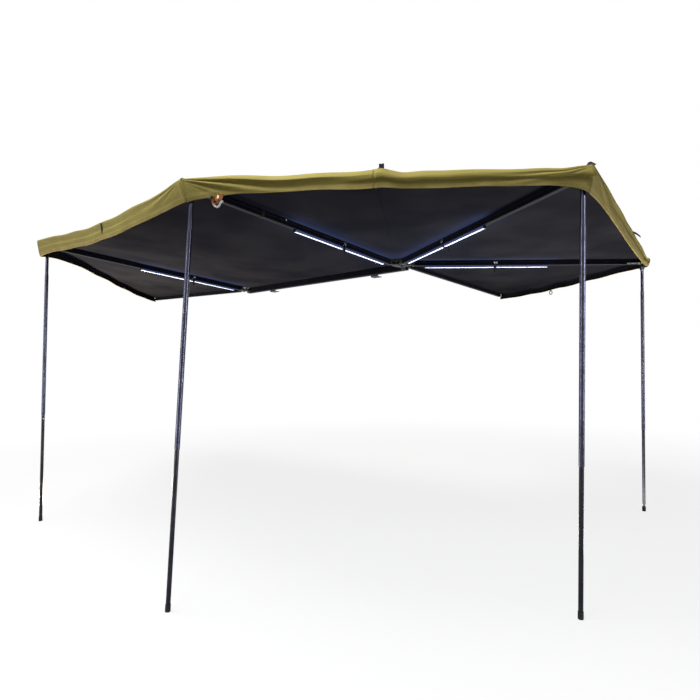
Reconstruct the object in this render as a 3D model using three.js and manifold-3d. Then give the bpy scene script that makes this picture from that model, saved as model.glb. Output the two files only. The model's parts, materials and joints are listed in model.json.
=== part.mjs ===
// Free-standing 270 degree wing awning for the side of a vehicle, in millimetres.
// +X points away from the vehicle, +Y to its rear and +Z up. The origin is on the
// underside of the rear rack bracket, where the awning sits on a roof rack.
import * as THREE from "three";
import { mergeVertices } from "three/addons/utils/BufferGeometryUtils.js";
import Module from "manifold-3d";

const wasm = await Module();
wasm.setup();

// Overall layout, as set up with its canopy stretched
const HUB_SPACING = 2060; // rear pivot to front pivot, along the beam
const REAR_HUB_Y = 350; // rear pivot behind the rear rack bracket
const ARM_REACH = 2025; // pivot to the tip of an arm
const FRONT_SPAR_REACH = 1895;
const REAR_SPAR_REACH = 2025;
const LANE = 52; // between the centre lines of two arms folded side by side
const ARM_Z = 48; // centre line of the arms at their pivots
const GROUND_Z = -2033; // where the poles stand
const FIT = 0.3; // gap between two pieces that touch
const RUN = 0.5; // running gap of a hinge or a sliding tube
const OVERRUN = 2; // how far a cutter runs past what it cuts

// Mounting beam, an extrusion with a bolt slot behind and a fabric groove on top
const BEAM_DEPTH = 45;
const BEAM_TOP = 22; // above the centre line of the arms
const BEAM_BOTTOM = 34; // below it
const BEAM_WALL = 3;
const BEAM_OVERHANG = 24; // past each pivot
const SLOT_MOUTH = 9;
const SLOT_WIDTH = 17;
const SLOT_DEPTH = 7;
const SLOT_LIP = 2.5;
const GROOVE_R = 4.2; // fabric groove, on the beam and on every arm
const GROOVE_MOUTH = 3.2;
const GROOVE_SINK = 6.5; // centre of the groove below the top face

// Rack brackets
const BRACKET_LEG = 60; // resting on the rack
const BRACKET_WIDTH = 80;
const BRACKET_T = 6;
const BRACKET_SPACING = 1370;
const BRACKET_BEND_R = 8;
const RACK_SLOT = 9; // width of the two slots for the bolts of the rack
const RACK_SLOT_LENGTH = 30;
const SLOT_SPACING = 44;
const BOLT_HEAD_R = 7.5; // bolts that hold the beam on its brackets
const BOLT_HEAD_T = 5.3;

// Arm and spar extrusions
const ARM_W = 35;
const ARM_H = 44;
const SPAR_W = 30;
const SPAR_H = 36;
const WALL = 2.5;
const CORNER_R = 4;
const FLUTE_HALF = 6; // half height of the shallow flute along each side
const FLUTE_DEPTH = 1;

// Knuckles, the cast joints that carry one arm on the next
const EYE_R = 19;
const EYE_HALF = 9;
const EAR_T = 5.5;
const PIN_R = 6;
const HEAD_T = 4.6;
const HEAD_R = 10;
const SHOULDER_START = 58;
const SHOULDER_END = 74;
const SPIGOT_LENGTH = 55;
const EAR_ROOT = 50; // where an ear meets its knuckle, along the arm
const EAR_HALF = 13;

// Light bars
const LIGHT_START = 165;
const LIGHT_LENGTH = 1025;
const LIGHT_W = 22;
const LIGHT_H = 15;
const LIGHT_WALL = 2;
const LENS_H = 7;

// Poles and the forks they hang from
const HINGE_INSET = 34; // hinge pin back from the tip of the arm
const HINGE_DROP = 56; // hinge pin below the centre line of the arm
const CHEEK_T = 5;
const CHEEK_R = 14;
const TONGUE_W = 16;
const TONGUE_R = 11;
const HINGE_PIN_R = 4;
const TONGUE_LENGTH = 18;
const NECK_R = 12;
const NECK_LENGTH = 170;
const UPPER_R = 14;
const UPPER_LENGTH = 1350; // hinge pin to the lower end of the upper tube
const TUBE_WALL = 1.4;
const OVERLAP = 160; // lower tube inside the upper one
const FOOT_R = 14;
const FOOT_LENGTH = 38;
const FOOT_SOCKET = 26;

// Canopy cloth
const CLOTH = 2;
const CLOTH_GAP = 0.8; // above the arms
const SEAM = 0.8; // cloth edge to the line of its seam
const HEM_OUT = 30; // cloth edge past the tips of the arms
const VALANCE_IN = 22; // lower edge of a valance back towards the hub
const SAG = 26; // of the inner part of a panel between its arms
const INNER_CURVE = 2; // how gently that part leaves the arms
const EDGE_CURVE = 1.3; // the same at the edge, which leaves them in peaks
const TIP_FADE = 2.5; // how fast the deep corners of a valance come up to its middle
const FOLD = 5; // depth of the folds in a valance
const FOLDS = 5; // in each valance
const APEX = 64; // cloth starts this far from the pivots
const EDGE_R = 5; // where the cloth turns down into its valance
const PUCKER = 7; // depth of the pleats that run into each corner
const ACROSS = 22; // steps across a panel
const ALONG = 9; // steps from the hub to the edge
const DOWN = 5; // steps down the valance

// Rise of each tip above its pivot
const RISE_1 = 190;
const RISE_2 = 140;
const RISE_3 = 65;
const RISE_4 = -5;
const FRONT_SPAR_RISE = 70;
const REAR_SPAR_RISE = -70;

// How far each pole stands out from its hinge
const SPLAY_1 = 45;
const SPLAY_2 = 155;
const SPLAY_3 = -80;
const SPLAY_4 = -38;

// Depth of the valance at each tip, and halfway along the edge of each panel
const DROP_1 = 130;
const DROP_2 = 145;
const DROP_3 = 110;
const DROP_4 = 100;
const SPAR_DROP = 92;
const FRONT_DROP = 100;
const SIDE_DROP = 118;
const CORNER_DROP = 67;
const REAR_DROP = 118;
const TAIL_DROP = 92;

// Sag of the edge of each panel between its two tips
const FRONT_SAG = 12;
const SIDE_SAG = 64;
const CORNER_SAG = 3;
const REAR_SAG = 8;
const TAIL_SAG = 16;

// The four arms and two spars, each with its heading in degrees from +X
const ARMS = [
  { heading: -4, rise: RISE_1, reach: ARM_REACH, height: ARM_H, drop: DROP_1, splay: SPLAY_1 },
  { heading: 2, rise: RISE_2, reach: ARM_REACH, height: ARM_H, drop: DROP_2, splay: SPLAY_2 },
  { heading: 61, rise: RISE_3, reach: ARM_REACH, height: ARM_H, drop: DROP_3, splay: SPLAY_3 },
  { heading: 131, rise: RISE_4, reach: ARM_REACH, height: ARM_H, drop: DROP_4, splay: SPLAY_4 },
];
const FRONT_SPAR = {
  heading: -91,
  rise: FRONT_SPAR_RISE,
  reach: FRONT_SPAR_REACH,
  height: SPAR_H,
  drop: SPAR_DROP,
};
const REAR_SPAR = {
  heading: 182,
  rise: REAR_SPAR_RISE,
  reach: REAR_SPAR_REACH,
  height: SPAR_H,
  drop: SPAR_DROP,
};

// Places worked out from the sizes above
const BEAM_BACK = BRACKET_LEG / 2 + FIT;
const BEAM_FACE = BEAM_BACK + BEAM_DEPTH;
const FRONT_LANE = BEAM_FACE + ARM_W / 2 + EAR_HALF;
const REAR_LANE = FRONT_LANE + 2 * LANE;
const FRONT_HUB_Y = REAR_HUB_Y - HUB_SPACING;
const BEAM_LENGTH = HUB_SPACING + 2 * BEAM_OVERHANG;
const SIDES = 20;
const PIN_SIDES = 12;
const ACROSS_ARM = new THREE.Vector3(0, 1, 0);
const rad = THREE.MathUtils.degToRad;

// Colours and finishes
const BLACK_ALLOY = { color: 0x17191f, roughness: 0.42, metalness: 0.75 };
const CAST_BLACK = { color: 0x1b1c20, roughness: 0.6, metalness: 0.5 };
const DARK_TUBE = { color: 0x20242d, roughness: 0.35, metalness: 0.7 };
const BRIGHT_STEEL = { color: 0xb9bcc0, roughness: 0.3, metalness: 1 };
const SILVER_CAP = { color: 0xc9ccd0, roughness: 0.4, metalness: 0.6 };
const LENS_WHITE = { color: 0xf2f7ff, roughness: 0.3, metalness: 0 };
const RUBBER = { color: 0x141414, roughness: 0.85, metalness: 0 };
const CANVAS = { color: 0x8f8344, roughness: 0.85, metalness: 0 };

const awning = new THREE.Group();

// Solids

function solidOf(geometry) {
  const bare = geometry.clone();
  bare.deleteAttribute("normal");
  bare.deleteAttribute("uv");
  const merged = mergeVertices(bare, FIT / 1000);
  return new wasm.Manifold(
    new wasm.Mesh({
      numProp: 3,
      vertProperties: new Float32Array(merged.attributes.position.array),
      triVerts: new Uint32Array(merged.index.array),
    }),
  );
}

function geometryOf(solid) {
  const mesh = solid.getMesh();
  const geometry = new THREE.BufferGeometry();
  geometry.setAttribute("position", new THREE.BufferAttribute(mesh.vertProperties, 3));
  geometry.setIndex(new THREE.BufferAttribute(mesh.triVerts, 1));
  return geometry;
}

function join(...geometries) {
  return geometryOf(geometries.map(solidOf).reduce((all, one) => all.add(one)));
}

function cut(base, ...tools) {
  return geometryOf(tools.map(solidOf).reduce((left, tool) => left.subtract(tool), solidOf(base)));
}

function extrude(shape, depth, curveSegments = 2) {
  return new THREE.ExtrudeGeometry(shape, { depth, bevelEnabled: false, curveSegments });
}

// A profile drawn as (across, up) and run along +X from start to end
function alongX(shape, start, end, curveSegments) {
  const geometry = extrude(shape, end - start, curveSegments);
  geometry.rotateX(Math.PI / 2).rotateZ(Math.PI / 2);
  return geometry.translate(start, 0, 0);
}

// A plan outline raised from low to high
function slab(shape, low, high, curveSegments = 5) {
  return extrude(shape, high - low, curveSegments).translate(0, 0, low);
}

// An outline drawn as (along the arm, up), with its thickness across the arm
function sidePlate(shape, near, far, curveSegments) {
  return extrude(shape, far - near, curveSegments).rotateX(Math.PI / 2).translate(0, far, 0);
}

function upright(radius, low, high, sides = SIDES) {
  return new THREE.CylinderGeometry(radius, radius, high - low, sides)
    .rotateX(Math.PI / 2)
    .translate(0, 0, (low + high) / 2);
}

function box(x0, x1, y0, y1, z0, z1) {
  return new THREE.BoxGeometry(x1 - x0, y1 - y0, z1 - z0).translate(
    (x0 + x1) / 2,
    (y0 + y1) / 2,
    (z0 + z1) / 2,
  );
}

function revolve(points, sides = SIDES) {
  const outline = points.map(([r, z]) => new THREE.Vector2(r, z));
  return new THREE.LatheGeometry(outline, sides).rotateX(Math.PI / 2);
}

function addPiece(group, name, geometry, finish) {
  const piece = new THREE.Mesh(geometry, new THREE.MeshStandardMaterial(finish));
  piece.name = name;
  group.add(piece);
  return piece;
}

// Outlines

function roundedRect(shape, halfWidth, low, high, r) {
  shape.moveTo(halfWidth - r, low);
  shape.absarc(halfWidth - r, low + r, r, -Math.PI / 2, 0);
  shape.absarc(halfWidth - r, high - r, r, 0, Math.PI / 2);
  shape.absarc(r - halfWidth, high - r, r, Math.PI / 2, Math.PI);
  shape.absarc(r - halfWidth, low + r, r, Math.PI, 1.5 * Math.PI);
  shape.closePath();
  return shape;
}

// Groove for the bead of the cloth, drawn on from the right lip at the given height
function drawGroove(shape, top) {
  const turn = Math.asin(GROOVE_MOUTH / 2 / GROOVE_R);
  const start = Math.PI / 2 - turn;
  shape.lineTo(GROOVE_MOUTH / 2, top);
  shape.absarc(0, top - GROOVE_SINK, GROOVE_R, start, start - 2 * Math.PI + 2 * turn, true);
  shape.lineTo(-GROOVE_MOUTH / 2, top);
}

function armCavity(width, height) {
  const high = height / 2 - GROOVE_SINK - GROOVE_R - WALL;
  return { half: width / 2 - WALL - FLUTE_DEPTH, low: WALL - height / 2, high };
}

// Hollow extrusion with a fluted side and a fabric groove in its top
function armProfile(width, height) {
  const w = width / 2;
  const h = height / 2;
  const shape = new THREE.Shape();
  shape.moveTo(w - CORNER_R, -h);
  shape.absarc(w - CORNER_R, CORNER_R - h, CORNER_R, -Math.PI / 2, 0);
  shape.lineTo(w, -FLUTE_HALF);
  shape.lineTo(w - FLUTE_DEPTH, FLUTE_DEPTH - FLUTE_HALF);
  shape.lineTo(w - FLUTE_DEPTH, FLUTE_HALF - FLUTE_DEPTH);
  shape.lineTo(w, FLUTE_HALF);
  shape.absarc(w - CORNER_R, h - CORNER_R, CORNER_R, 0, Math.PI / 2);
  drawGroove(shape, h);
  shape.absarc(CORNER_R - w, h - CORNER_R, CORNER_R, Math.PI / 2, Math.PI);
  shape.lineTo(-w, FLUTE_HALF);
  shape.lineTo(FLUTE_DEPTH - w, FLUTE_HALF - FLUTE_DEPTH);
  shape.lineTo(FLUTE_DEPTH - w, FLUTE_DEPTH - FLUTE_HALF);
  shape.lineTo(-w, -FLUTE_HALF);
  shape.absarc(CORNER_R - w, CORNER_R - h, CORNER_R, Math.PI, 1.5 * Math.PI);
  shape.closePath();
  const cavity = armCavity(width, height);
  shape.holes.push(roundedRect(new THREE.Path(), cavity.half, cavity.low, cavity.high, WALL / 2));
  return shape;
}

// What slides into the end of an arm or spar
function spigotProfile(width, height) {
  const cavity = armCavity(width, height);
  const shape = new THREE.Shape();
  return roundedRect(shape, cavity.half - FIT, cavity.low + FIT, cavity.high - FIT, WALL / 2);
}

// Straight strap with round ends, from (x0, y0) to (x1, y1)
function strapOutline(x0, y0, r0, x1, y1, r1) {
  const along = Math.atan2(y1 - y0, x1 - x0);
  const lean = Math.acos((r0 - r1) / Math.hypot(x1 - x0, y1 - y0));
  const shape = new THREE.Shape();
  shape.absarc(x0, y0, r0, along + lean, along - lean + 2 * Math.PI);
  shape.absarc(x1, y1, r1, along - lean, along + lean);
  shape.closePath();
  return shape;
}

// Mounting beam and brackets

function beamProfile() {
  const half = BEAM_DEPTH / 2;
  const shape = new THREE.Shape();
  const slotMiddle = (BEAM_TOP - BEAM_BOTTOM) / 2;
  shape.moveTo(-half, -BEAM_BOTTOM);
  shape.lineTo(half - CORNER_R, -BEAM_BOTTOM);
  shape.absarc(half - CORNER_R, CORNER_R - BEAM_BOTTOM, CORNER_R, -Math.PI / 2, 0);
  shape.absarc(half - CORNER_R, BEAM_TOP - CORNER_R, CORNER_R, 0, Math.PI / 2);
  drawGroove(shape, BEAM_TOP);
  shape.lineTo(-half, BEAM_TOP);
  shape.lineTo(-half, slotMiddle + SLOT_MOUTH / 2);
  shape.lineTo(SLOT_LIP - half, slotMiddle + SLOT_MOUTH / 2);
  shape.lineTo(SLOT_LIP - half, slotMiddle + SLOT_WIDTH / 2);
  shape.lineTo(SLOT_DEPTH - half, slotMiddle + SLOT_WIDTH / 2);
  shape.lineTo(SLOT_DEPTH - half, slotMiddle - SLOT_WIDTH / 2);
  shape.lineTo(SLOT_LIP - half, slotMiddle - SLOT_WIDTH / 2);
  shape.lineTo(SLOT_LIP - half, slotMiddle - SLOT_MOUTH / 2);
  shape.lineTo(-half, slotMiddle - SLOT_MOUTH / 2);
  shape.closePath();
  const cavity = new THREE.Path();
  const left = SLOT_DEPTH + BEAM_WALL - half;
  const right = half - BEAM_WALL;
  const high = BEAM_TOP - GROOVE_SINK - GROOVE_R - BEAM_WALL;
  cavity.moveTo(left, BEAM_WALL - BEAM_BOTTOM);
  cavity.lineTo(right, BEAM_WALL - BEAM_BOTTOM);
  cavity.lineTo(right, high);
  cavity.lineTo(left, high);
  cavity.closePath();
  shape.holes.push(cavity);
  return shape;
}

function addBeam() {
  const geometry = extrude(beamProfile(), BEAM_LENGTH).rotateX(Math.PI / 2);
  const beam = addPiece(awning, "mounting_beam", geometry, BLACK_ALLOY);
  beam.position.set(BEAM_BACK + BEAM_DEPTH / 2, REAR_HUB_Y + BEAM_OVERHANG, ARM_Z);
}

// Bent plate: one leg on the rack, the other up the back of the beam
function rackBracket() {
  const back = BRACKET_LEG / 2;
  const top = ARM_Z + BEAM_TOP - BRACKET_T;
  const shape = new THREE.Shape();
  const inner = BRACKET_BEND_R - BRACKET_T;
  shape.moveTo(-back, 0);
  shape.lineTo(back - BRACKET_BEND_R, 0);
  shape.absarc(back - BRACKET_BEND_R, BRACKET_BEND_R, BRACKET_BEND_R, -Math.PI / 2, 0);
  shape.lineTo(back, top);
  shape.lineTo(back - BRACKET_T, top);
  shape.absarc(back - BRACKET_BEND_R, BRACKET_BEND_R, inner, 0, -Math.PI / 2, true);
  shape.lineTo(-back, BRACKET_T);
  shape.closePath();
  const plate = sidePlate(shape, -BRACKET_WIDTH / 2, BRACKET_WIDTH / 2);
  const slots = [];
  const heads = [];
  for (const side of [-1, 1]) {
    const y = (side * SLOT_SPACING) / 2;
    const half = (RACK_SLOT_LENGTH - RACK_SLOT) / 2;
    const slot = strapOutline(-half, y, RACK_SLOT / 2, half, y, RACK_SLOT / 2);
    slots.push(slab(slot, -OVERRUN, BRACKET_T + OVERRUN, 3).translate(-BRACKET_BEND_R, 0, 0));
    const head = upright(BOLT_HEAD_R, -BRACKET_T - BOLT_HEAD_T, -BRACKET_T / 2, 6);
    const height = ARM_Z + (BEAM_TOP - BEAM_BOTTOM) / 2;
    heads.push(head.rotateY(Math.PI / 2).translate(back, y, height));
  }
  return cut(join(plate, ...heads), ...slots);
}

function addRackBrackets() {
  addPiece(awning, "rack_bracket_rear", rackBracket(), CAST_BLACK);
  const front = addPiece(awning, "rack_bracket_front", rackBracket(), CAST_BLACK);
  front.position.y = -BRACKET_SPACING;
}

// Fork on the beam that carries the first pivot of a hub, its pivot at the local origin
function hubBracket(distance) {
  const face = FIT - distance;
  const plateEnd = face + BRACKET_T;
  const half = BEAM_OVERHANG - OVERRUN;
  const low = EYE_HALF + RUN;
  const ear = () => {
    const shape = new THREE.Shape();
    shape.moveTo(face, -half);
    shape.lineTo(plateEnd, -half);
    shape.lineTo(0, -EYE_R);
    shape.absarc(0, 0, EYE_R, -Math.PI / 2, Math.PI / 2);
    shape.lineTo(plateEnd, half);
    shape.lineTo(face, half);
    shape.closePath();
    return shape;
  };
  const plate = box(face, plateEnd, -half, half, -BEAM_BOTTOM, BEAM_TOP - CORNER_R);
  const pieces = [plate, slab(ear(), low, low + EAR_T), slab(ear(), -low - EAR_T, -low)];
  const webEnd = -EYE_R - 2 * OVERRUN;
  if (webEnd > plateEnd) {
    pieces.push(box(face, webEnd, -EAR_HALF, EAR_HALF, -low - EAR_T, low + EAR_T));
  }
  const reach = low + EAR_T + OVERRUN;
  return cut(join(...pieces), upright(PIN_R + RUN, -reach, reach, PIN_SIDES));
}

function pivotBolt() {
  const reach = EYE_HALF + RUN + EAR_T + FIT;
  const head = upright(HEAD_R, reach, reach + HEAD_T, 6);
  const nut = upright(HEAD_R, -reach - HEAD_T, -reach, 6);
  return join(upright(PIN_R, -reach - HEAD_T / 2, reach + HEAD_T / 2, PIN_SIDES), head, nut);
}

// Knuckles

// Cast root of an arm: the eye it turns on, the spigot inside its tube and, on
// one side, the two ears that carry the next pivot
function knuckle(width, height, tilt, side) {
  const body = strapOutline(0, 0, EYE_R, SHOULDER_START, 0, EAR_HALF);
  const eye = slab(body, -EYE_HALF, EYE_HALF);
  const collar = roundedRect(new THREE.Shape(), width / 2, -height / 2, height / 2, CORNER_R);
  const shoulder = alongX(collar, SHOULDER_START, SHOULDER_END).rotateY(-tilt);
  const spigotEnd = SHOULDER_END + SPIGOT_LENGTH;
  const spigot = alongX(spigotProfile(width, height), SHOULDER_END - OVERRUN, spigotEnd);
  const pieces = [eye, shoulder, spigot.rotateY(-tilt)];
  const low = EYE_HALF + RUN;
  const holes = [upright(PIN_R + FIT, -EYE_HALF - OVERRUN, EYE_HALF + OVERRUN, PIN_SIDES)];
  if (side) {
    const ear = strapOutline(0, side * LANE, EYE_R, EAR_ROOT, side * OVERRUN, EAR_HALF);
    pieces.push(slab(ear, low, low + EAR_T), slab(ear, -low - EAR_T, -low));
    const post = strapOutline(EAR_ROOT, 0, EAR_HALF, SHOULDER_START, 0, EAR_HALF - FIT);
    pieces.push(slab(post, -low - EAR_T, low + EAR_T));
    const reach = low + EAR_T + OVERRUN;
    holes.push(upright(PIN_R + FIT, -reach, reach, PIN_SIDES).translate(0, side * LANE, 0));
  }
  return cut(join(...pieces), ...holes);
}

// Light bar under an arm

function lightChannel() {
  const half = LIGHT_W / 2;
  const shape = new THREE.Shape();
  shape.moveTo(-half, 0);
  shape.lineTo(-half, -LIGHT_H);
  shape.lineTo(LIGHT_WALL - half, -LIGHT_H);
  shape.lineTo(LIGHT_WALL - half, -LIGHT_WALL);
  shape.lineTo(half - LIGHT_WALL, -LIGHT_WALL);
  shape.lineTo(half - LIGHT_WALL, -LIGHT_H);
  shape.lineTo(half, -LIGHT_H);
  shape.lineTo(half, 0);
  shape.closePath();
  return alongX(shape, LIGHT_START, LIGHT_START + LIGHT_LENGTH);
}

function lightLens() {
  const half = LIGHT_W / 2 - LIGHT_WALL - FIT;
  const shape = new THREE.Shape();
  shape.moveTo(half, -LIGHT_WALL - FIT);
  shape.lineTo(-half, -LIGHT_WALL - FIT);
  shape.lineTo(-half, LENS_H / 2 - LIGHT_H);
  shape.quadraticCurveTo(0, -LIGHT_H - LENS_H / 2, half, LENS_H / 2 - LIGHT_H);
  shape.closePath();
  return alongX(shape, LIGHT_START + FIT, LIGHT_START + LIGHT_LENGTH - FIT);
}

// Fork under the tip of an arm, with the pin that the pole hangs from
function poleFork() {
  const pinX = ARM_REACH - HINGE_INSET;
  const tubeEnd = ARM_REACH - CHEEK_R;
  const inner = TONGUE_W / 2 + RUN;
  const plug = alongX(spigotProfile(ARM_W, ARM_H), tubeEnd - SPIGOT_LENGTH, tubeEnd + OVERRUN);
  const end = roundedRect(new THREE.Shape(), ARM_W / 2, -ARM_H / 2, ARM_H / 2, CORNER_R);
  const cap = alongX(end, tubeEnd + FIT, ARM_REACH);
  const strap = new THREE.Shape();
  strap.moveTo(tubeEnd + FIT, CORNER_R - ARM_H / 2);
  strap.lineTo(tubeEnd + FIT, -ARM_H / 2 - FIT);
  strap.lineTo(pinX - CHEEK_R, -ARM_H / 2 - CHEEK_R);
  strap.lineTo(pinX - CHEEK_R, -HINGE_DROP);
  strap.absarc(pinX, -HINGE_DROP, CHEEK_R, Math.PI, 2 * Math.PI);
  strap.lineTo(ARM_REACH, -ARM_H / 2);
  strap.lineTo(ARM_REACH, CORNER_R - ARM_H / 2);
  strap.closePath();
  const pin = upright(HINGE_PIN_R, -inner - CHEEK_T - FIT, inner + CHEEK_T + FIT, PIN_SIDES);
  return join(
    plug,
    cap,
    sidePlate(strap, inner, inner + CHEEK_T),
    sidePlate(strap, -inner - CHEEK_T, -inner),
    pin.rotateX(Math.PI / 2).translate(pinX, 0, -HINGE_DROP),
  );
}

// Cap of the tube at the free end of a spar
function sparCap(reach) {
  const end = roundedRect(new THREE.Shape(), SPAR_W / 2, -SPAR_H / 2, SPAR_H / 2, CORNER_R);
  const tubeEnd = reach - CHEEK_R;
  const plug = alongX(spigotProfile(SPAR_W, SPAR_H), tubeEnd - SPIGOT_LENGTH, tubeEnd + OVERRUN);
  return join(plug, alongX(end, tubeEnd + FIT, reach));
}

// Poles

// Upper tube, hanging down -Z from the hinge pin at the local origin
function upperTube() {
  const bore = UPPER_R - TUBE_WALL;
  const shoulderZ = -TONGUE_LENGTH - NECK_LENGTH;
  const tube = revolve([
    [0, shoulderZ - UPPER_R],
    [bore, shoulderZ - UPPER_R],
    [bore, -UPPER_LENGTH],
    [UPPER_R, -UPPER_LENGTH],
    [UPPER_R, shoulderZ - OVERRUN],
    [NECK_R, shoulderZ],
    [NECK_R, -TONGUE_LENGTH],
    [0, -TONGUE_LENGTH],
  ]);
  const tongue = new THREE.Shape();
  tongue.moveTo(-TONGUE_R, -TONGUE_LENGTH - OVERRUN);
  tongue.lineTo(TONGUE_R, -TONGUE_LENGTH - OVERRUN);
  tongue.absarc(0, 0, TONGUE_R, 0, Math.PI);
  tongue.closePath();
  const bar = sidePlate(tongue, -TONGUE_W / 2, TONGUE_W / 2);
  const hole = upright(HINGE_PIN_R + FIT, -TONGUE_W, TONGUE_W, PIN_SIDES).rotateX(Math.PI / 2);
  return cut(join(tube, bar), hole);
}

function lowerRadius() {
  return UPPER_R - TUBE_WALL - RUN;
}

// Lower tube from inside the upper one down to the foot, length measured from the pin
function lowerTube(length) {
  const r = lowerRadius();
  const top = OVERLAP - UPPER_LENGTH;
  const bottom = FOOT_LENGTH - FOOT_SOCKET - length;
  return revolve([
    [r - TUBE_WALL, top],
    [r - TUBE_WALL, bottom],
    [r, bottom],
    [r, top],
    [r - TUBE_WALL, top],
  ]);
}

// Moulded foot with the socket that the lower tube stands in
function poleFoot(length) {
  const socket = lowerRadius() + FIT;
  const top = FOOT_LENGTH - length;
  const floor = top - FOOT_SOCKET - FIT;
  return revolve([
    [0, floor],
    [0, -length],
    [FOOT_R - TUBE_WALL, -length],
    [FOOT_R, TUBE_WALL - length],
    [FOOT_R, FOOT_LENGTH / 3 - length],
    [socket + TUBE_WALL, top - TUBE_WALL],
    [socket + TUBE_WALL, top],
    [socket, top],
    [socket, floor],
    [0, floor],
  ]);
}

function addPole(group, number, tilt, splay) {
  const pin = new THREE.Vector3(ARM_REACH - HINGE_INSET, 0, -HINGE_DROP);
  pin.applyAxisAngle(ACROSS_ARM, -tilt);
  const drop = ARM_Z + pin.z - GROUND_Z;
  const pole = new THREE.Group();
  pole.position.copy(pin);
  pole.rotation.y = -Math.atan2(splay, drop);
  group.add(pole);
  const length = Math.hypot(splay, drop);
  addPiece(pole, `pole_${number}_upper`, upperTube(), DARK_TUBE);
  addPiece(pole, `pole_${number}_lower`, lowerTube(length), DARK_TUBE);
  addPiece(pole, `pole_${number}_foot`, poleFoot(length), RUBBER);
}

// Arms and spars

function tiltOf(rise, reach) {
  return Math.asin(rise / reach);
}

function directionOf(heading) {
  return new THREE.Vector3(Math.cos(rad(heading)), Math.sin(rad(heading)), 0);
}

// The next pivot of a chain lies one lane beside an arm
function nextPivot(pivot, heading, side) {
  return pivot.clone().addScaledVector(directionOf(heading + side * 90), LANE);
}

function addTube(group, name, width, height, reach, tilt) {
  const end = reach - CHEEK_R;
  const start = SHOULDER_END + FIT;
  const tube = addPiece(group, name, alongX(armProfile(width, height), start, end), BLACK_ALLOY);
  tube.rotation.y = -tilt;
}

function addArm(number, pivot, side) {
  const { heading, rise, splay } = ARMS[number - 1];
  const tilt = tiltOf(rise, ARM_REACH);
  const arm = new THREE.Group();
  arm.position.copy(pivot);
  arm.rotation.z = rad(heading);
  awning.add(arm);
  const name = `arm_${number}`;
  addPiece(arm, `${name}_knuckle`, knuckle(ARM_W, ARM_H, tilt, side), CAST_BLACK);
  addTube(arm, `${name}_beam`, ARM_W, ARM_H, ARM_REACH, tilt);
  const under = new THREE.Group();
  under.rotation.y = -tilt;
  arm.add(under);
  const channel = addPiece(under, `light_${number}_channel`, lightChannel(), BLACK_ALLOY);
  const lens = addPiece(under, `light_${number}_lens`, lightLens(), LENS_WHITE);
  channel.position.z = -ARM_H / 2 - FIT;
  lens.position.z = -ARM_H / 2 - FIT;
  addPiece(under, `pole_${number}_fork`, poleFork(), CAST_BLACK);
  addPole(arm, number, tilt, splay);
}

function addSpar(name, pivot, { heading, rise, reach }) {
  const tilt = tiltOf(rise, reach);
  const spar = new THREE.Group();
  spar.position.copy(pivot);
  spar.rotation.z = rad(heading);
  awning.add(spar);
  addPiece(spar, `${name}_knuckle`, knuckle(SPAR_W, SPAR_H, tilt, 0), CAST_BLACK);
  addTube(spar, `${name}_beam`, SPAR_W, SPAR_H, reach, tilt);
  const cap = addPiece(spar, `${name}_cap`, sparCap(reach), SILVER_CAP);
  cap.rotation.y = -tilt;
}

function addBolt(name, pivot) {
  addPiece(awning, name, pivotBolt(), BRIGHT_STEEL).position.copy(pivot);
}

// Hubs and arms together

const frontPivot = new THREE.Vector3(FRONT_LANE, FRONT_HUB_Y, ARM_Z);
const frontSparPivot = nextPivot(frontPivot, ARMS[0].heading, -1);
const rearPivot = new THREE.Vector3(REAR_LANE, REAR_HUB_Y, ARM_Z);
const thirdPivot = nextPivot(rearPivot, ARMS[1].heading, 1);
const fourthPivot = nextPivot(thirdPivot, ARMS[2].heading, 1);
const rearSparPivot = nextPivot(fourthPivot, ARMS[3].heading, 1);

function addHubs() {
  const front = hubBracket(FRONT_LANE - BEAM_FACE);
  const rear = hubBracket(REAR_LANE - BEAM_FACE);
  addPiece(awning, "hub_bracket_front", front, CAST_BLACK).position.copy(frontPivot);
  addPiece(awning, "hub_bracket_rear", rear, CAST_BLACK).position.copy(rearPivot);
  addBolt("arm_1_pivot_bolt", frontPivot);
  addBolt("front_spar_pivot_bolt", frontSparPivot);
  addBolt("arm_2_pivot_bolt", rearPivot);
  addBolt("arm_3_pivot_bolt", thirdPivot);
  addBolt("arm_4_pivot_bolt", fourthPivot);
  addBolt("rear_spar_pivot_bolt", rearSparPivot);
}

// Canopy

// Line of the cloth over an arm or a spar, s being the distance from its pivot
function ridge(pivot, { heading, rise, reach, height, drop }, start = APEX) {
  const run = directionOf(heading);
  const tilt = tiltOf(rise, reach);
  const top = height / 2 / Math.cos(tilt) + CLOTH_GAP;
  const at = (v) => {
    const s = THREE.MathUtils.lerp(start, reach + HEM_OUT, v);
    const point = pivot.clone().addScaledVector(run, s);
    point.z += top + Math.max(s, 0) * Math.tan(tilt);
    return point;
  };
  return { at, run, drop };
}

function smooth(t) {
  return t * t * (3 - 2 * t);
}

// Point on the upper face of a panel between two ridges; u runs across it and v
// from 0 at the hub to 1 at the edge
function panelPoint({ one, other, sag }, u, v) {
  const a = one.at(v);
  const b = other.at(v);
  const span = b.clone().sub(a);
  const inset = SEAM / Math.hypot(span.x, span.y);
  const share = inset + (1 - 2 * inset) * u;
  const point = new THREE.Vector3().lerpVectors(a, b, share);
  point.z = THREE.MathUtils.lerp(a.z, b.z, smooth(share));
  const hang = Math.sin(Math.PI * u) ** THREE.MathUtils.lerp(INNER_CURVE, EDGE_CURVE, v ** 4);
  const pleat = Math.sin(2 * Math.PI * FOLDS * u) * Math.sin(Math.PI * u) * v ** 3;
  point.z -= hang * (SAG * Math.sin(Math.PI * v) + sag * v) + (PUCKER / 2) * pleat;
  return point;
}

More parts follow.
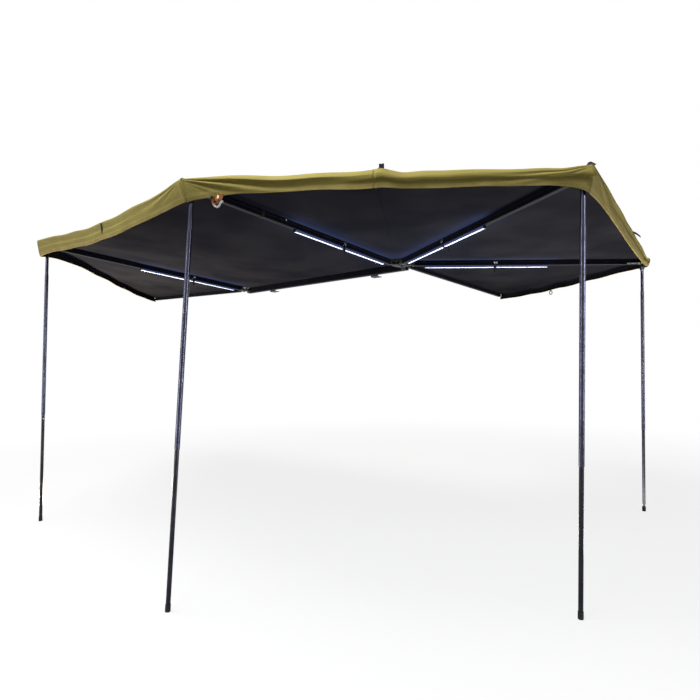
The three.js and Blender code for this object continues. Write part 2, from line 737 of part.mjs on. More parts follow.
// Which way is out along the edge of a panel, mitred where it meets its ridges
function outwards({ one, other }, start, end) {
  const along = end.clone().sub(start);
  const normal = new THREE.Vector3(along.y, -along.x, 0).normalize();
  if (normal.dot(one.run) < 0) normal.negate();
  const atOne = one.run.clone().divideScalar(one.run.dot(normal));
  const atOther = other.run.clone().divideScalar(other.run.dot(normal));
  return (u) => new THREE.Vector3().lerpVectors(atOne, atOther, u);
}

// Rows of points from the hub over the edge and down the valance
function clothRows(panel) {
  const { one, other, drop } = panel;
  const edge = (u) => panelPoint(panel, u, 1);
  const out = outwards(panel, edge(0), edge(1));
  const rows = [];
  for (let j = 0; j <= ALONG; j++) {
    rows.push((u) => panelPoint(panel, u, j / ALONG));
  }
  for (let j = 1; j <= DOWN; j++) {
    rows.push((u) => {
      const share = j / DOWN;
      const tips = THREE.MathUtils.lerp(one.drop, other.drop, u);
      const depth = THREE.MathUtils.lerp(tips, drop, 1 - (1 - Math.sin(Math.PI * u)) ** TIP_FADE);
      const wave = FOLD * Math.sin(2 * Math.PI * FOLDS * u) * Math.sin(Math.PI * u) * share;
      const reach = THREE.MathUtils.lerp(EDGE_R, -VALANCE_IN, share ** 2);
      const point = edge(u).addScaledVector(out(u), reach + wave);
      point.z -= THREE.MathUtils.lerp(EDGE_R, depth, share ** 1.2);
      return point;
    });
  }
  return rows;
}

// Closed sheet of cloth through rows of points, its thickness on the lower side
function clothSheet(rows) {
  const count = ACROSS + 1;
  const grid = rows.map((row) =>
    Array.from({ length: count }, (_, i) => row(i / ACROSS)),
  );
  const normalAt = (j, i) => {
    const along = grid[j][Math.min(i + 1, ACROSS)].clone().sub(grid[j][Math.max(i - 1, 0)]);
    const down = grid[Math.min(j + 1, rows.length - 1)][i].clone();
    down.sub(grid[Math.max(j - 1, 0)][i]);
    return along.cross(down).normalize();
  };
  const middleNormal = normalAt(Math.floor(ALONG / 2), Math.floor(ACROSS / 2));
  const turn = middleNormal.z > 0 ? 1 : -1;
  const positions = [];
  for (const lift of [CLOTH, 0]) {
    for (let j = 0; j < rows.length; j++) {
      for (let i = 0; i < count; i++) {
        const point = grid[j][i].clone().addScaledVector(normalAt(j, i), turn * lift);
        positions.push(point.x, point.y, point.z);
      }
    }
  }
  return sheetMesh(positions, rows.length, count, turn);
}

function sheetMesh(positions, rowCount, count, turn) {
  const at = (layer, j, i) => layer * rowCount * count + j * count + i;
  const index = [];
  const face = (a, b, c) => index.push(a, turn > 0 ? b : c, turn > 0 ? c : b);
  const quad = (a, b, c, d) => {
    face(a, b, c);
    face(a, c, d);
  };
  for (let j = 0; j < rowCount - 1; j++) {
    for (let i = 0; i < count - 1; i++) {
      quad(at(0, j, i), at(0, j, i + 1), at(0, j + 1, i + 1), at(0, j + 1, i));
      quad(at(1, j, i), at(1, j + 1, i), at(1, j + 1, i + 1), at(1, j, i + 1));
    }
    quad(at(0, j, 0), at(0, j + 1, 0), at(1, j + 1, 0), at(1, j, 0));
    const last = count - 1;
    quad(at(0, j + 1, last), at(0, j, last), at(1, j, last), at(1, j + 1, last));
  }
  for (let i = 0; i < count - 1; i++) {
    quad(at(0, 0, i + 1), at(0, 0, i), at(1, 0, i), at(1, 0, i + 1));
    const end = rowCount - 1;
    quad(at(0, end, i), at(0, end, i + 1), at(1, end, i + 1), at(1, end, i));
  }
  const geometry = new THREE.BufferGeometry();
  geometry.setAttribute("position", new THREE.Float32BufferAttribute(positions, 3));
  geometry.setIndex(index);
  return geometry;
}

function addPanel(name, one, other, drop, sag) {
  const rows = clothRows({ one, other, drop, sag });
  addPiece(awning, name, clothSheet(rows), CANVAS);
}

function addCanopy() {
  const groove = BEAM_BACK + BEAM_DEPTH / 2;
  const [first, second, third, fourth] = ARMS;
  const frontArm = ridge(frontPivot, first);
  const rearArm = ridge(rearPivot, second);
  const corner = ridge(thirdPivot, third);
  const back = ridge(fourthPivot, fourth);
  const alongFront = ridge(frontPivot, first, groove - FRONT_LANE);
  const alongRear = ridge(rearPivot, second, groove - REAR_LANE);
  addPanel("canopy_front", ridge(frontSparPivot, FRONT_SPAR), frontArm, FRONT_DROP, FRONT_SAG);
  addPanel("canopy_side", alongFront, alongRear, SIDE_DROP, SIDE_SAG);
  addPanel("canopy_corner", rearArm, corner, CORNER_DROP, CORNER_SAG);
  addPanel("canopy_rear", corner, back, REAR_DROP, REAR_SAG);
  addPanel("canopy_tail", back, ridge(rearSparPivot, REAR_SPAR), TAIL_DROP, TAIL_SAG);
}

addBeam();
addRackBrackets();
addHubs();
addArm(1, frontPivot, -1);
addArm(2, rearPivot, 1);
addArm(3, thirdPivot, 1);
addArm(4, fourthPivot, 1);
addSpar("front_spar", frontSparPivot, FRONT_SPAR);
addSpar("rear_spar", rearSparPivot, REAR_SPAR);
addCanopy();

export default awning;
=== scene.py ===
# Looks of a free-standing wing awning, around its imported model. +X points out from its
# mounting beam, +Y along the beam to the rear hub and +Z up. Sizes are in millimetres and
# become metres where a mesh, lamp or camera is made.
import json
import math

import bmesh
import bpy
from mathutils import Matrix, Vector, noise

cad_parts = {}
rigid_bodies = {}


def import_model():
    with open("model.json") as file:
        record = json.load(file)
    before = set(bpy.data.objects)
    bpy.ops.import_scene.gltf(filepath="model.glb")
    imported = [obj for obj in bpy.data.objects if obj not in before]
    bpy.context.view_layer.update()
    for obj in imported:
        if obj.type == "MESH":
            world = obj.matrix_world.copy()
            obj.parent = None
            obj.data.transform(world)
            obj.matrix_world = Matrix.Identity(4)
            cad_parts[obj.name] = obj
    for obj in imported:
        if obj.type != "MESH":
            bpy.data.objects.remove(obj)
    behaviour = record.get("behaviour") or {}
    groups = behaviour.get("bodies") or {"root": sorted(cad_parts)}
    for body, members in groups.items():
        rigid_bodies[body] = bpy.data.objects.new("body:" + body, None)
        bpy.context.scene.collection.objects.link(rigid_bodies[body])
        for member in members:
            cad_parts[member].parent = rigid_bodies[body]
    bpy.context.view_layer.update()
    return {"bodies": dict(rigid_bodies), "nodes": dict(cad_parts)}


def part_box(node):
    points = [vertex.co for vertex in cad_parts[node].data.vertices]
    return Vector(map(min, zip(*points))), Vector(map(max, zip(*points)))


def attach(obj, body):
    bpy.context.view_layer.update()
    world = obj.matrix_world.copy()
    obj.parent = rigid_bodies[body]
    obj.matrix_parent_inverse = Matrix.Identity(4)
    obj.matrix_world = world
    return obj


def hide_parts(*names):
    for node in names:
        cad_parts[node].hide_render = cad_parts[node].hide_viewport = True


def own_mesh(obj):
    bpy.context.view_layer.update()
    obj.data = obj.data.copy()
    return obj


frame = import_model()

MM = 0.001
UP = Vector((0, 0, 1))
WHITE = "#FFFFFF"

# Camera, as the photograph was taken
CAMERA_AT = (3842.7, 2915.0, -783.9)
CAMERA_HEADING = -139.881  # degrees from +X
CAMERA_PITCH = 1.509
CAMERA_ROLL = -0.706
FOCAL_PIXELS = 532.14
FRAME_PIXELS = 700
SENSOR = 36
SKY_STRENGTH = 0.32  # of the sky as a light, while it is seen at 1

# Patterns of the cloth
THREAD = 1.6  # between two threads, three times the real spacing so that the weave shows
WAVE = 2 * math.pi / 20  # width of one band of a wave texture whose scale is 1
STITCH = 5
STITCH_IN = 3  # rows of stitches in from both edges of the hem
STITCH_HALF = 0.9  # half width of a row, coarse so that it shows

# Edges of rigid pieces
SHARP = 35  # degrees between two faces whose edge is rounded
WELD = 0.02  # how far apart two corners may be that are joined

# Arms and spars, as the frame has them
ARM_REACH = 2025
FRONT_SPAR_REACH = 1895
REAR_SPAR_REACH = 2025
ARM_W = 35
ARM_H = 44
SPAR_W = 30
SPAR_H = 36
LIGHT_START = 165
LIGHT_LENGTH = 1025
LIGHT_W = 22
LIGHT_H = 15
HINGE_INSET = 34  # hinge pin of a pole back from the tip of its arm
HINGE_DROP = 56  # and below the centre line of the arm
UPPER_LENGTH = 1350
LOWER_R = 12.1
GROUND_Z = -2033
FIT = 0.3

# Cloth, as the frame has it
CLOTH = 2
CLOTH_GAP = 0.8
SEAM_INSET = 0.8
HEM_OUT = 30
SAG = 26
INNER_CURVE = 2
EDGE_CURVE = 1.3
FOLDS = 5
APEX = 64
EDGE_R = 5
PUCKER = 7

# Cloth, only seen here
ACROSS = 160  # steps across a panel, an even number
ALONG = 60  # steps from the hub to the edge
TURN_STEPS = 4  # where the cloth turns down into its valance
DOWN = 34  # steps down the valance
OUTSIDE, INSIDE, HEMMED = range(3)  # its materials, in the order of its list
HEM = 20  # height of the doubled hem
HEM_T = 1.2  # how far the doubling stands out
HEM_RAMP = 2  # over which it does so
SEAM = 11  # half width of a felled seam
SEAM_T = 0.6

# How the cloth lies
DIP_EASE = 14  # how fast the edge starts to dip beside a seam
DIP_INWARD = 12  # power by which its dips fade towards the hub
PEAK_INWARD = 30  # and the peak beside the buckle
PEAK_REACH = 55
PLEAT_TURNS = 36  # how close the pleats lie, in radians for each radian of their fan
PLEAT_SPREAD = 0.35  # radians that the fan opens by
PLEAT_BEHIND = 40  # where its pleats meet, beyond the corner
LIP_END = 0.46  # share of the valance that rolls outwards
LIP_EASE = 0.2  # share of the panel over which the roll starts and ends
CREASE = 0.14  # share over which the crease below it turns in
HEM_HOLD = 0.7  # share of the edge's dips that the hem doesn't follow
SLACK = 3  # depth of the soft hollows in the top
SLACK_SIZE = 260
RIPPLE = 1.4  # depth of the small waves of a valance
RIPPLE_SIZE = 150
SETTLE = 6  # how fast the waves of a valance start below its edge
DROP_CURVE = 1.2  # how much closer its rows lie at the edge

# Light of a light bar, painted on the lining as a faint glow
SPILL = 0.12  # right beside it
SPILL_NEAR = 42
SPILL_SHARE = 0.055  # part of it that reaches far
SPILL_FAR = 650

# Light bars: the domed diffuser and the caps at both ends
DOME = 2.2  # how far the diffuser stands out of its channel
DOME_HALF = 9
DOME_SINK = 1  # how far its edges reach into the channel
DOME_INSET = 1  # its ends in from those of the channel
DOME_STEPS = 8
CAP_OUT = 1.3  # middle of a cap past the end of its channel
CAP_T = 2.2

# Straps round the arms and their lights
STRAP_AT = {1: 646, 2: 684, 3: 712, 4: 750}
STRAP_W = 22
STRAP_T = 1.1
SLIDER_W = 29
SLIDER_H = 14
SLIDER_T = 2.6
SLIDER_OUT = 2.9  # its middle from the side of the arm
SLIDER_UP = 2  # its middle above that of the arm
TAIL_HALVES = (9, 9, 9, 9, 9, 9, 8, 5)  # half widths of the loose end
TAIL_OUT = 2.6  # its start from the side of the arm
TAIL_UP = -8  # and above its middle
TAIL_STEP = 11  # how far each step of it hangs down
TAIL_LEAN = 1.5  # and leans along the arm
TAIL_FLARE = 0.5  # and away from it

# Spring buttons of the poles
BUTTON_SIDE = {1: 1, 2: -1, 3: 1, 4: 1}
BUTTON_AT = 32  # below the end of the upper tube
BUTTON_SINK = 1  # its foot below the face of the lower tube
BUTTON_RINGS = ((4.6, 0), (4.6, 1.5), (3.6, 2.1), (1.8, 2.4))  # radius and height
BUTTON_SIDES = 16

# Tapes over the seams
TAPE_HALF = 19
TAPE_T = 0.9
TAPE_LIFT = 0.5  # above the cloth
TAPE_START = 0.08  # share of the seam that the hub hides
TAPE_STEPS = 24
TAPE_DOWN = 10  # steps down the corner of the valance
TURN_SHARE = 0.02  # share of the valance where the tape still turns over the edge

# Trims of the edge and the hem
BUCKLE_U = 0.518  # where the buckle stands along the edge of the corner panel
TAB_T = 1.6
TAB_LIFT = 1.2  # above the cloth
TAB_START = 0.04  # share of the valance above the tab
LOOP_T = 1.4  # webbing that the buckle hangs on
STIFF_TAB_T = 11
RING_R = 18
RING_WIRE = 4.2
RING_BELOW = 27  # its middle below the hem
RING_LOOP_T = 1.2
CLIP_BELOW = 18  # middle of the clip below the hem
CLIP_OUT = 3
CLIP_LOOP_WIRE = 7.5
CLIP_CATCH_WIRE = 5.5

# Fittings seen on single arms, from the pivot of the arm
PLATE_AT = 1920
PLATE_LENGTH = 128
PLATE_H = 10
PLATE_T = 1.8
PLATE_UP = -14
TIE_AT = 1490
SCREW_AT = 1292
SCREW_R = 6
SCREW_T = 2.6
SCREW_OUT = 1.2  # its middle from the side of the arm
SCREW_UP = 13
HOOK_OUT = 14  # past the tip of the arm
HOOK_ACROSS = -11
HOOK_T = 13

# Hub covers and spar plugs
COVER_RINGS = ((1.0, 0), (1.0, 2.5), (0.93, 6), (0.7, 9), (0.35, 10.5))  # reach, height
COVER_SIDES = 40
COVER_LOBES = 0.06  # how far its four lobes stand out
COVER_LIFT = 1.5
COVER_V = 0.02  # where along the seams its height is taken
PLUG_RINGS = ((0.78, 0), (0.78, 0.55), (0.66, 0.82), (0.35, 0.98))  # width, length
PLUG_SIDES = 24
PLUG_OUT = 58  # its tip past the spar
PLUG_SINK = 2
PLUG_DOWN = 4


def lerp(a, b, t):
    return a + (b - a) * t


def smooth(t):
    t = min(max(t, 0), 1)
    return t * t * (3 - 2 * t)


def bell(x, middle, width):
    return math.exp(-(((x - middle) / width) ** 2))


# Camera and light


def add_camera():
    """The photograph's viewpoint, about 1.25 m above the ground."""
    heading, pitch, roll = (
        math.radians(a) for a in (CAMERA_HEADING, CAMERA_PITCH, CAMERA_ROLL)
    )
    level = Vector((math.cos(heading), math.sin(heading), 0))
    right = Vector((math.sin(heading), -math.cos(heading), 0))
    ahead = level * math.cos(pitch) + UP * math.sin(pitch)
    above = UP * math.cos(pitch) - level * math.sin(pitch)
    across = right * math.cos(roll) + above * math.sin(roll)
    upward = above * math.cos(roll) - right * math.sin(roll)
    data = bpy.data.cameras.new("camera")
    data.sensor_width = SENSOR
    data.lens = SENSOR * FOCAL_PIXELS / FRAME_PIXELS
    data.clip_start = 0.05
    data.clip_end = 200
    camera = bpy.data.objects.new("camera", data)
    bpy.context.scene.collection.objects.link(camera)
    turn = Matrix((across, upward, -ahead)).transposed()
    camera.matrix_world = Matrix.Translation(Vector(CAMERA_AT) * MM) @ turn.to_4x4()
    bpy.context.scene.camera = camera


def add_lamp(name, place, target, size, power, colour, gloss_only=False):
    """A soft box of the given width and height in millimetres, turned to its target. One
    for gloss only is a strip that shows as a long highlight on the tubes."""
    data = bpy.data.lights.new(name, "AREA")
    data.shape = "RECTANGLE"
    data.size, data.size_y = (side * MM for side in size)
    data.energy = power
    data.color = linear(colour)[:3]
    lamp = bpy.data.objects.new(name, data)
    bpy.context.scene.collection.objects.link(lamp)
    lamp.visible_camera = False
    lamp.visible_diffuse = not gloss_only
    lamp.location = Vector(place) * MM
    aim = (Vector(target) - Vector(place)).to_track_quat("-Z", "Y")
    lamp.rotation_mode = "QUATERNION"
    lamp.rotation_quaternion = aim


# Materials


def linear(code):
    """Linear colour of an sRGB hex value."""
    channels = [int(code[i : i + 2], 16) / 255 for i in (1, 3, 5)]
    low = [c / 12.92 for c in channels]
    high = [((c + 0.055) / 1.055) ** 2.4 for c in channels]
    return (*[a if c <= 0.04045 else b for a, b, c in zip(low, high, channels)], 1.0)


def add_node(tree, kind, settings=None, links=None):
    """Adds a node with its settings, which are sockets or properties, and its links."""
    node = tree.nodes.new("ShaderNode" + kind)
    for name, value in (settings or {}).items():
        if isinstance(name, int) or name in node.inputs:
            node.inputs[name].default_value = value
        else:
            setattr(node, name, value)
    for name, source in (links or {}).items():
        tree.links.new(source, node.inputs[name])
    return node


def new_material(name, settings):
    """A material whose shader has the given settings, with its tree and its shader."""
    material = bpy.data.materials.new(name)
    material.use_nodes = True
    tree = material.node_tree
    shader = tree.nodes["Principled BSDF"]
    for socket, value in settings.items():
        shader.inputs[socket].default_value = value
    return material, tree, shader


def grain(tree, size, detail, stretch=(1, 1, 1), map_name=None):
    """Noise whose patches are about size millimetres wide. It lies on the given map of a
    cloth, or else in the object's own space."""
    if map_name:
        place = add_node(tree, "UVMap", {"uv_map": map_name}).outputs[0]
    else:
        place = add_node(tree, "TexCoord").outputs["Object"]
    spread = add_node(tree, "Mapping", {"Scale": stretch}, {"Vector": place})
    settings = {"Scale": 1 / (size * MM), "Detail": detail}
    return add_node(tree, "TexNoise", settings, {"Vector": spread.outputs[0]}).outputs[0]


def two_tones(tree, factor, one, other, low=0.35, high=0.65):
    """One colour where the factor is low and the other where it is high."""
    settings = {"From Min": low, "From Max": high}
    share = add_node(tree, "MapRange", settings, {"Value": factor})
    settings = {"Color1": linear(one), "Color2": linear(other)}
    return add_node(tree, "MixRGB", settings, {"Fac": share.outputs[0]}).outputs[0]


def vary_roughness(tree, shader, factor, low, high):
    """Roughness that follows the factor from low to high."""
    settings = {"To Min": low, "To Max": high}
    share = add_node(tree, "MapRange", settings, {"Value": factor})
    tree.links.new(share.outputs[0], shader.inputs["Roughness"])


def raise_bumps(tree, shader, layers):
    """Bumps of (height, depth in millimetres), from the coarsest to the finest."""
    normal = None
    for height, depth in layers:
        links = {"Height": height}
        if normal:
            links["Normal"] = normal
        normal = add_node(tree, "Bump", {"Distance": depth * MM}, links).outputs[0]
    tree.links.new(normal, shader.inputs["Normal"])


def threads(tree):
    """Plain weave along the cloth's own directions."""
    place = add_node(tree, "UVMap", {"uv_map": "cloth"}).outputs[0]
    scale = WAVE / (THREAD * MM)
    ways = [
        add_node(
            tree,
            "TexWave",
            {"bands_direction": way, "Scale": scale},
            {"Vector": place},
        ).outputs[1]
        for way in ("X", "Y")
    ]
    links = {0: ways[0], 1: ways[1]}
    return add_node(tree, "Math", {"operation": "MAXIMUM"}, links).outputs[0]


def proofed_canvas():
    """Woven and proofed canvas: matt, with a faint nap that lifts its edges. Its tones
    drift slowly, and shallow creases run along its edges."""
    settings = {"Roughness": 0.86, "Specular IOR Level": 0.15, "Sheen Weight": 0.04}
    material, tree, shader = new_material("proofed_canvas", settings)
    colour = two_tones(tree, grain(tree, 240, 3), "#968843", "#A5984F", 0.25, 0.75)
    weave = threads(tree)
    shade = add_node(tree, "MapRange", {"To Min": 0.86, "To Max": 1.0}, {"Value": weave})
    mixed = add_node(
        tree,
        "MixRGB",
        {"blend_type": "MULTIPLY", "Fac": 1.0},
        {"Color1": colour, "Color2": shade.outputs[0]},
    )
    tree.links.new(mixed.outputs[0], shader.inputs["Base Color"])
    drawn = grain(tree, 34, 2, (0.14, 1, 1), "cloth")
    raise_bumps(tree, shader, [(drawn, 3.0), (grain(tree, 70, 3), 1.6), (weave, 0.25)])
    return material


def stitched_hem():
    """Doubled canvas edge with two rows of lockstitch, paler where it is pulled tight."""
    settings = {"Roughness": 0.84, "Specular IOR Level": 0.15, "Sheen Weight": 0.04}
    material, tree, shader = new_material("stitched_hem", settings)
    colour = two_tones(tree, grain(tree, 90, 3), "#9A8A48", "#A99A58")
    place = add_node(tree, "UVMap", {"uv_map": "hem"}).outputs[0]
    parts = add_node(tree, "SeparateXYZ", links={"Vector": place})
    settings = {"operation": "MULTIPLY", 1: 2 * math.pi / (STITCH * MM)}
    beat = add_node(tree, "Math", settings, {0: parts.outputs[0]})
    dash = add_node(tree, "Math", {"operation": "SINE"}, {0: beat.outputs[0]})
    rows = []
    for height in (STITCH_IN, HEM - STITCH_IN):
        settings = {"operation": "COMPARE", 1: height * MM, 2: STITCH_HALF * MM}
        rows.append(add_node(tree, "Math", settings, {0: parts.outputs[1]}).outputs[0])
    both = add_node(tree, "Math", {"operation": "ADD"}, {0: rows[0], 1: rows[1]})
    settings = {"operation": "MULTIPLY", "use_clamp": True}
    dashed = add_node(tree, "Math", settings, {0: both.outputs[0], 1: dash.outputs[0]})
    mixed = add_node(
        tree,
        "MixRGB",
        {"Color2": linear("#B9AC6E")},
        {"Color1": colour, "Fac": dashed.outputs[0]},
    )
    tree.links.new(mixed.outputs[0], shader.inputs["Base Color"])
    raise_bumps(tree, shader, [(threads(tree), 0.25), (dashed.outputs[0], 0.6)])
    return material


def coated_lining():
    """Black blackout coating on the inner face of the canvas: dull, with soft creases. The
    light that the light bars throw on it is painted on as a faint blue glow."""
    settings = {
        "Roughness": 0.7,
        "Specular IOR Level": 0.0,
        "Emission Color": linear("#6E86D8"),
    }
    material, tree, shader = new_material("coated_lining", settings)
    colour = two_tones(tree, grain(tree, 420, 2), "#1B1C21", "#25262A")
    tree.links.new(colour, shader.inputs["Base Color"])
    # painted light: the light bars' glow on the lining, as emission
    spill = add_node(tree, "Attribute", {"attribute_name": "spill"})
    tree.links.new(spill.outputs["Fac"], shader.inputs["Emission Strength"])
    creases = grain(tree, 160, 4, (1, 1, 0.2))
    raise_bumps(tree, shader, [(creases, 2.5), (threads(tree), 0.12)])
    return material


def anodised_extrusion(name, one, other, roughness, metallic=0.9, painted_glow=0.0):
    """Anodised aluminium, etched before it was dyed, so its gloss is a soft band. The etching
    is drawn coarse, so that it shows. On the channel of a light, the light of the bar is
    painted on as a faint blue glow."""
    settings = {
        "Metallic": metallic,
        "Specular IOR Level": 0.03,
        "Emission Color": linear("#8298F0"),
        "Emission Strength": painted_glow,
    }
    material, tree, shader = new_material(name, settings)
    colour = two_tones(tree, grain(tree, 60, 3), one, other)
    tree.links.new(colour, shader.inputs["Base Color"])
    etched = grain(tree, 1.5, 2)
    vary_roughness(tree, shader, etched, roughness - 0.06, roughness + 0.06)
    raise_bumps(tree, shader, [(etched, 0.02)])
    return material


def powder_coated_casting():
    """Cast aluminium under matt black powder coat, with its fine orange peel."""
    settings = {"Metallic": 0.0, "Specular IOR Level": 0.45}
    material, tree, shader = new_material("powder_coated_casting", settings)
    peel = grain(tree, 1.8, 2)
    colour = two_tones(tree, grain(tree, 25, 3), "#16171B", "#1F2024")
    tree.links.new(colour, shader.inputs["Base Color"])
    vary_roughness(tree, shader, peel, 0.46, 0.62)
    raise_bumps(tree, shader, [(peel, 0.06)])
    return material


def plated_steel(name, one, other):
    """Plated steel, faintly blotched and bright where it is freshly drawn."""
    material, tree, shader = new_material(name, {"Metallic": 1.0})
    blotches = grain(tree, 4, 3)
    colour = two_tones(tree, blotches, one, other)
    tree.links.new(colour, shader.inputs["Base Color"])
    vary_roughness(tree, shader, blotches, 0.24, 0.4)
    return material


def moulded_plastic(name, one, other, roughness, gloss=0.5):
    """Injection-moulded plastic or rubber with a spark-eroded texture, which softens its
    gloss and is drawn coarse, so that it shows."""
    material, tree, shader = new_material(name, {"Specular IOR Level": gloss})
    texture = grain(tree, 0.9, 2)
    colour = two_tones(tree, grain(tree, 12, 2), one, other)
    tree.links.new(colour, shader.inputs["Base Color"])
    vary_roughness(tree, shader, texture, roughness - 0.05, roughness + 0.07)
    raise_bumps(tree, shader, [(texture, 0.04)])
    return material


def lit_diffuser():
    """Frosted polycarbonate with its cool white lights on, so it is even and has no gloss."""
    settings = {
        "Roughness": 0.5,
        "Base Color": linear("#EEF3FF"),
        "Emission Color": linear("#DCE5FF"),
        "Emission Strength": 1.25,
    }
    material, tree, shader = new_material("lit_diffuser", settings)
    raise_bumps(tree, shader, [(grain(tree, 2, 2), 0.05)])
    return material


def polyester_webbing():
    """Black narrow-woven webbing with its herringbone rib across."""
    settings = {"Roughness": 0.8, "Specular IOR Level": 0.15, "Sheen Weight": 0.02}
    material, tree, shader = new_material("polyester_webbing", settings)
    rib = grain(tree, 1.6, 1)
    colour = two_tones(tree, rib, "#0E0E10", "#1B1B1E")
    tree.links.new(colour, shader.inputs["Base Color"])
    raise_bumps(tree, shader, [(rib, 0.3)])
    return material


def seen_directly(tree):
    """1 for what the camera sees itself, in a reflection or through glass, and 0 else."""
    rays = add_node(tree, "LightPath").outputs
    settings = {"operation": "MAXIMUM"}
    links = {0: rays["Is Glossy Ray"], 1: rays["Is Transmission Ray"]}
    mirrored = add_node(tree, "Math", settings, links)
    links = {0: rays["Is Camera Ray"], 1: mirrored.outputs[0]}
    return add_node(tree, "Math", settings, links).outputs[0]


def pale_floor():
    """White studio floor that keeps the shadow and runs out into a white backdrop."""
    settings = {"Roughness": 0.9, "Specular IOR Level": 0.1}
    material, tree, shader = new_material("pale_floor", settings)
    place = add_node(tree, "NewGeometry").outputs["Position"]
    away = add_node(tree, "VectorMath", {"operation": "LENGTH"}, {"Vector": place})
    settings = {"From Min": 3.0, "From Max": 8.0, "To Min": 0.8}
    settings["interpolation_type"] = "SMOOTHSTEP"
    far = add_node(tree, "MapRange", settings, {"Value": away.outputs["Value"]})
    seen = seen_directly(tree)
    settings = {"Color1": linear("#5E5E5C"), "Color2": linear("#F3F3F1")}
    colour = add_node(tree, "MixRGB", settings, {"Fac": seen})
    tree.links.new(colour.outputs[0], shader.inputs["Base Color"])
    links = {0: far.outputs[0], 1: seen}
    share = add_node(tree, "Math", {"operation": "MULTIPLY"}, links)
    white = add_node(tree, "Emission", {"Color": (1, 1, 1, 1), "Strength": 1.0})
    links = {0: share.outputs[0], 1: shader.outputs[0], 2: white.outputs[0]}
    mixed = add_node(tree, "MixShader", links=links)
    tree.links.new(mixed.outputs[0], tree.nodes["Material Output"].inputs["Surface"])
    return material


def light_world():
    """A soft even sky, seen as plain white."""
    world = bpy.data.worlds.new("studio")
    world.use_nodes = True
    tree = world.node_tree
    settings = {"To Min": SKY_STRENGTH, "To Max": 1.0}
    strength = add_node(tree, "MapRange", settings, {"Value": seen_directly(tree)})
    background = tree.nodes["Background"]
    background.inputs["Color"].default_value = (1, 1, 1, 1)
    tree.links.new(strength.outputs[0], background.inputs["Strength"])
    bpy.context.scene.world = world


# Meshes


def make_piece(name, points, faces, materials, face_materials=None, flat=False):
    """A mesh object from points in millimetres."""
    mesh = bpy.data.meshes.new(name)
    mesh.from_pydata([Vector(p) * MM for p in points], [], faces)
    for material in materials:
        mesh.materials.append(material)
    if face_materials:
        mesh.polygons.foreach_set("material_index", face_materials)
    mesh.polygons.foreach_set("use_smooth", [not flat] * len(mesh.polygons))
    mesh.update()
    piece = bpy.data.objects.new(name, mesh)
    bpy.context.scene.collection.objects.link(piece)
    return piece


def round_edges(piece, width):
    """Gives the sharp edges of a piece a small radius."""
    bevel = piece.modifiers.new("edges", "BEVEL")
    bevel.width = width * MM
    bevel.segments = 2
    bevel.limit_method = "ANGLE"
    bevel.angle_limit = math.radians(SHARP)
    normals = piece.modifiers.new("normals", "WEIGHTED_NORMAL")
    normals.keep_sharp = False
    return piece


def sweep(name, path, across, section, material, closed=False):
    """A section of (across, out) points swept along a path. across gives, at each point
    of the path, the direction that the section's first number runs in."""
    count = len(path)
    size = len(section)
    points = []
    for i, at in enumerate(path):
        before = path[(i - 1) % count] if closed or i > 0 else at
        after = path[(i + 1) % count] if closed or i < count - 1 else at
        ahead = (after - before).normalized()
        wide = across[i] if isinstance(across, list) else across
        out = ahead.cross(wide).normalized()
        points += [at + wide * a + out * b for a, b in section]
    faces = []
    for i in range(count if closed else count - 1):
        for j in range(size):
            a = i * size + j
            b = i * size + (j + 1) % size
            c = ((i + 1) % count) * size + (j + 1) % size
            d = ((i + 1) % count) * size + j
            faces.append((a, b, c, d))
    if not closed:
        faces.append(tuple(range(size))[::-1])
        faces.append(tuple((count - 1) * size + j for j in range(size)))
    return make_piece(name, points, faces, [material])


def flat_section(width, thick):
    """Section of a strap, with its long edges rounded over."""
    half = width / 2
    edge = thick / 2
    return [
        (-half, 0),
        (-half + edge, -edge),
        (half - edge, -edge),
        (half, 0),
        (half - edge, edge),
        (-half + edge, edge),
    ]


def full_turn(sides):
    return [2 * math.pi * i / sides for i in range(sides)]


def round_section(radius, sides):
    return [(radius * math.cos(a), radius * math.sin(a)) for a in full_turn(sides)]


def oval(centre, across, up, wide, high, sides):
    """Points round an oval of the given half width and half height."""
    turns = full_turn(sides)
    return [centre + across * (wide * math.cos(a)) + up * (high * math.sin(a)) for a in turns]


def stack(name, rings, material):
    """A closed shape through rings that have as many points each."""
    count = len(rings[0])
    points = [point for ring in rings for point in ring]
    last = len(points) - count
    faces = []
    for low in range(0, last, count):
        for i in range(count):
            a, b = low + i, low + (i + 1) % count
            faces.append((a, b, b + count, a + count))
    faces += [tuple(range(count))[::-1], tuple(range(last, len(points)))]
    return make_piece(name, points, faces, [material])


# Canopy


class Ridge:
    """Line of the cloth over an arm or a spar, s being the distance from its pivot."""

    def __init__(self, body, heading, rise, reach, width, height, drop, tuck, start=APEX):
        low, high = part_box(body + "_pivot_bolt")
        self.body = body
        self.pivot = (low + high) / 2 / MM
        turned = math.radians(heading)
        self.run = Vector((math.cos(turned), math.sin(turned), 0))
        self.tilt = math.asin(rise / reach)
        self.reach = reach
        self.width = width
        self.height = height
        self.drop = drop
        self.tuck = tuck
        self.start = start
        self.frame = (
            Matrix.Translation(self.pivot)
            @ Matrix.Rotation(turned, 4, "Z")
            @ Matrix.Rotation(-self.tilt, 4, "Y")
        )

    def at(self, v):
        s = lerp(self.start, self.reach + HEM_OUT, v)
        point = self.pivot + self.run * s
        top = self.height / 2 / math.cos(self.tilt) + CLOTH_GAP
        point.z += top + max(s, 0) * math.tan(self.tilt)
        return point

    def place(self, along, across, up):
        """A point given along, across and above the centre line of the arm."""
        return self.frame @ Vector((along, across, up))

    def direction(self, along, across, up):
        return self.frame.to_3x3() @ Vector((along, across, up))


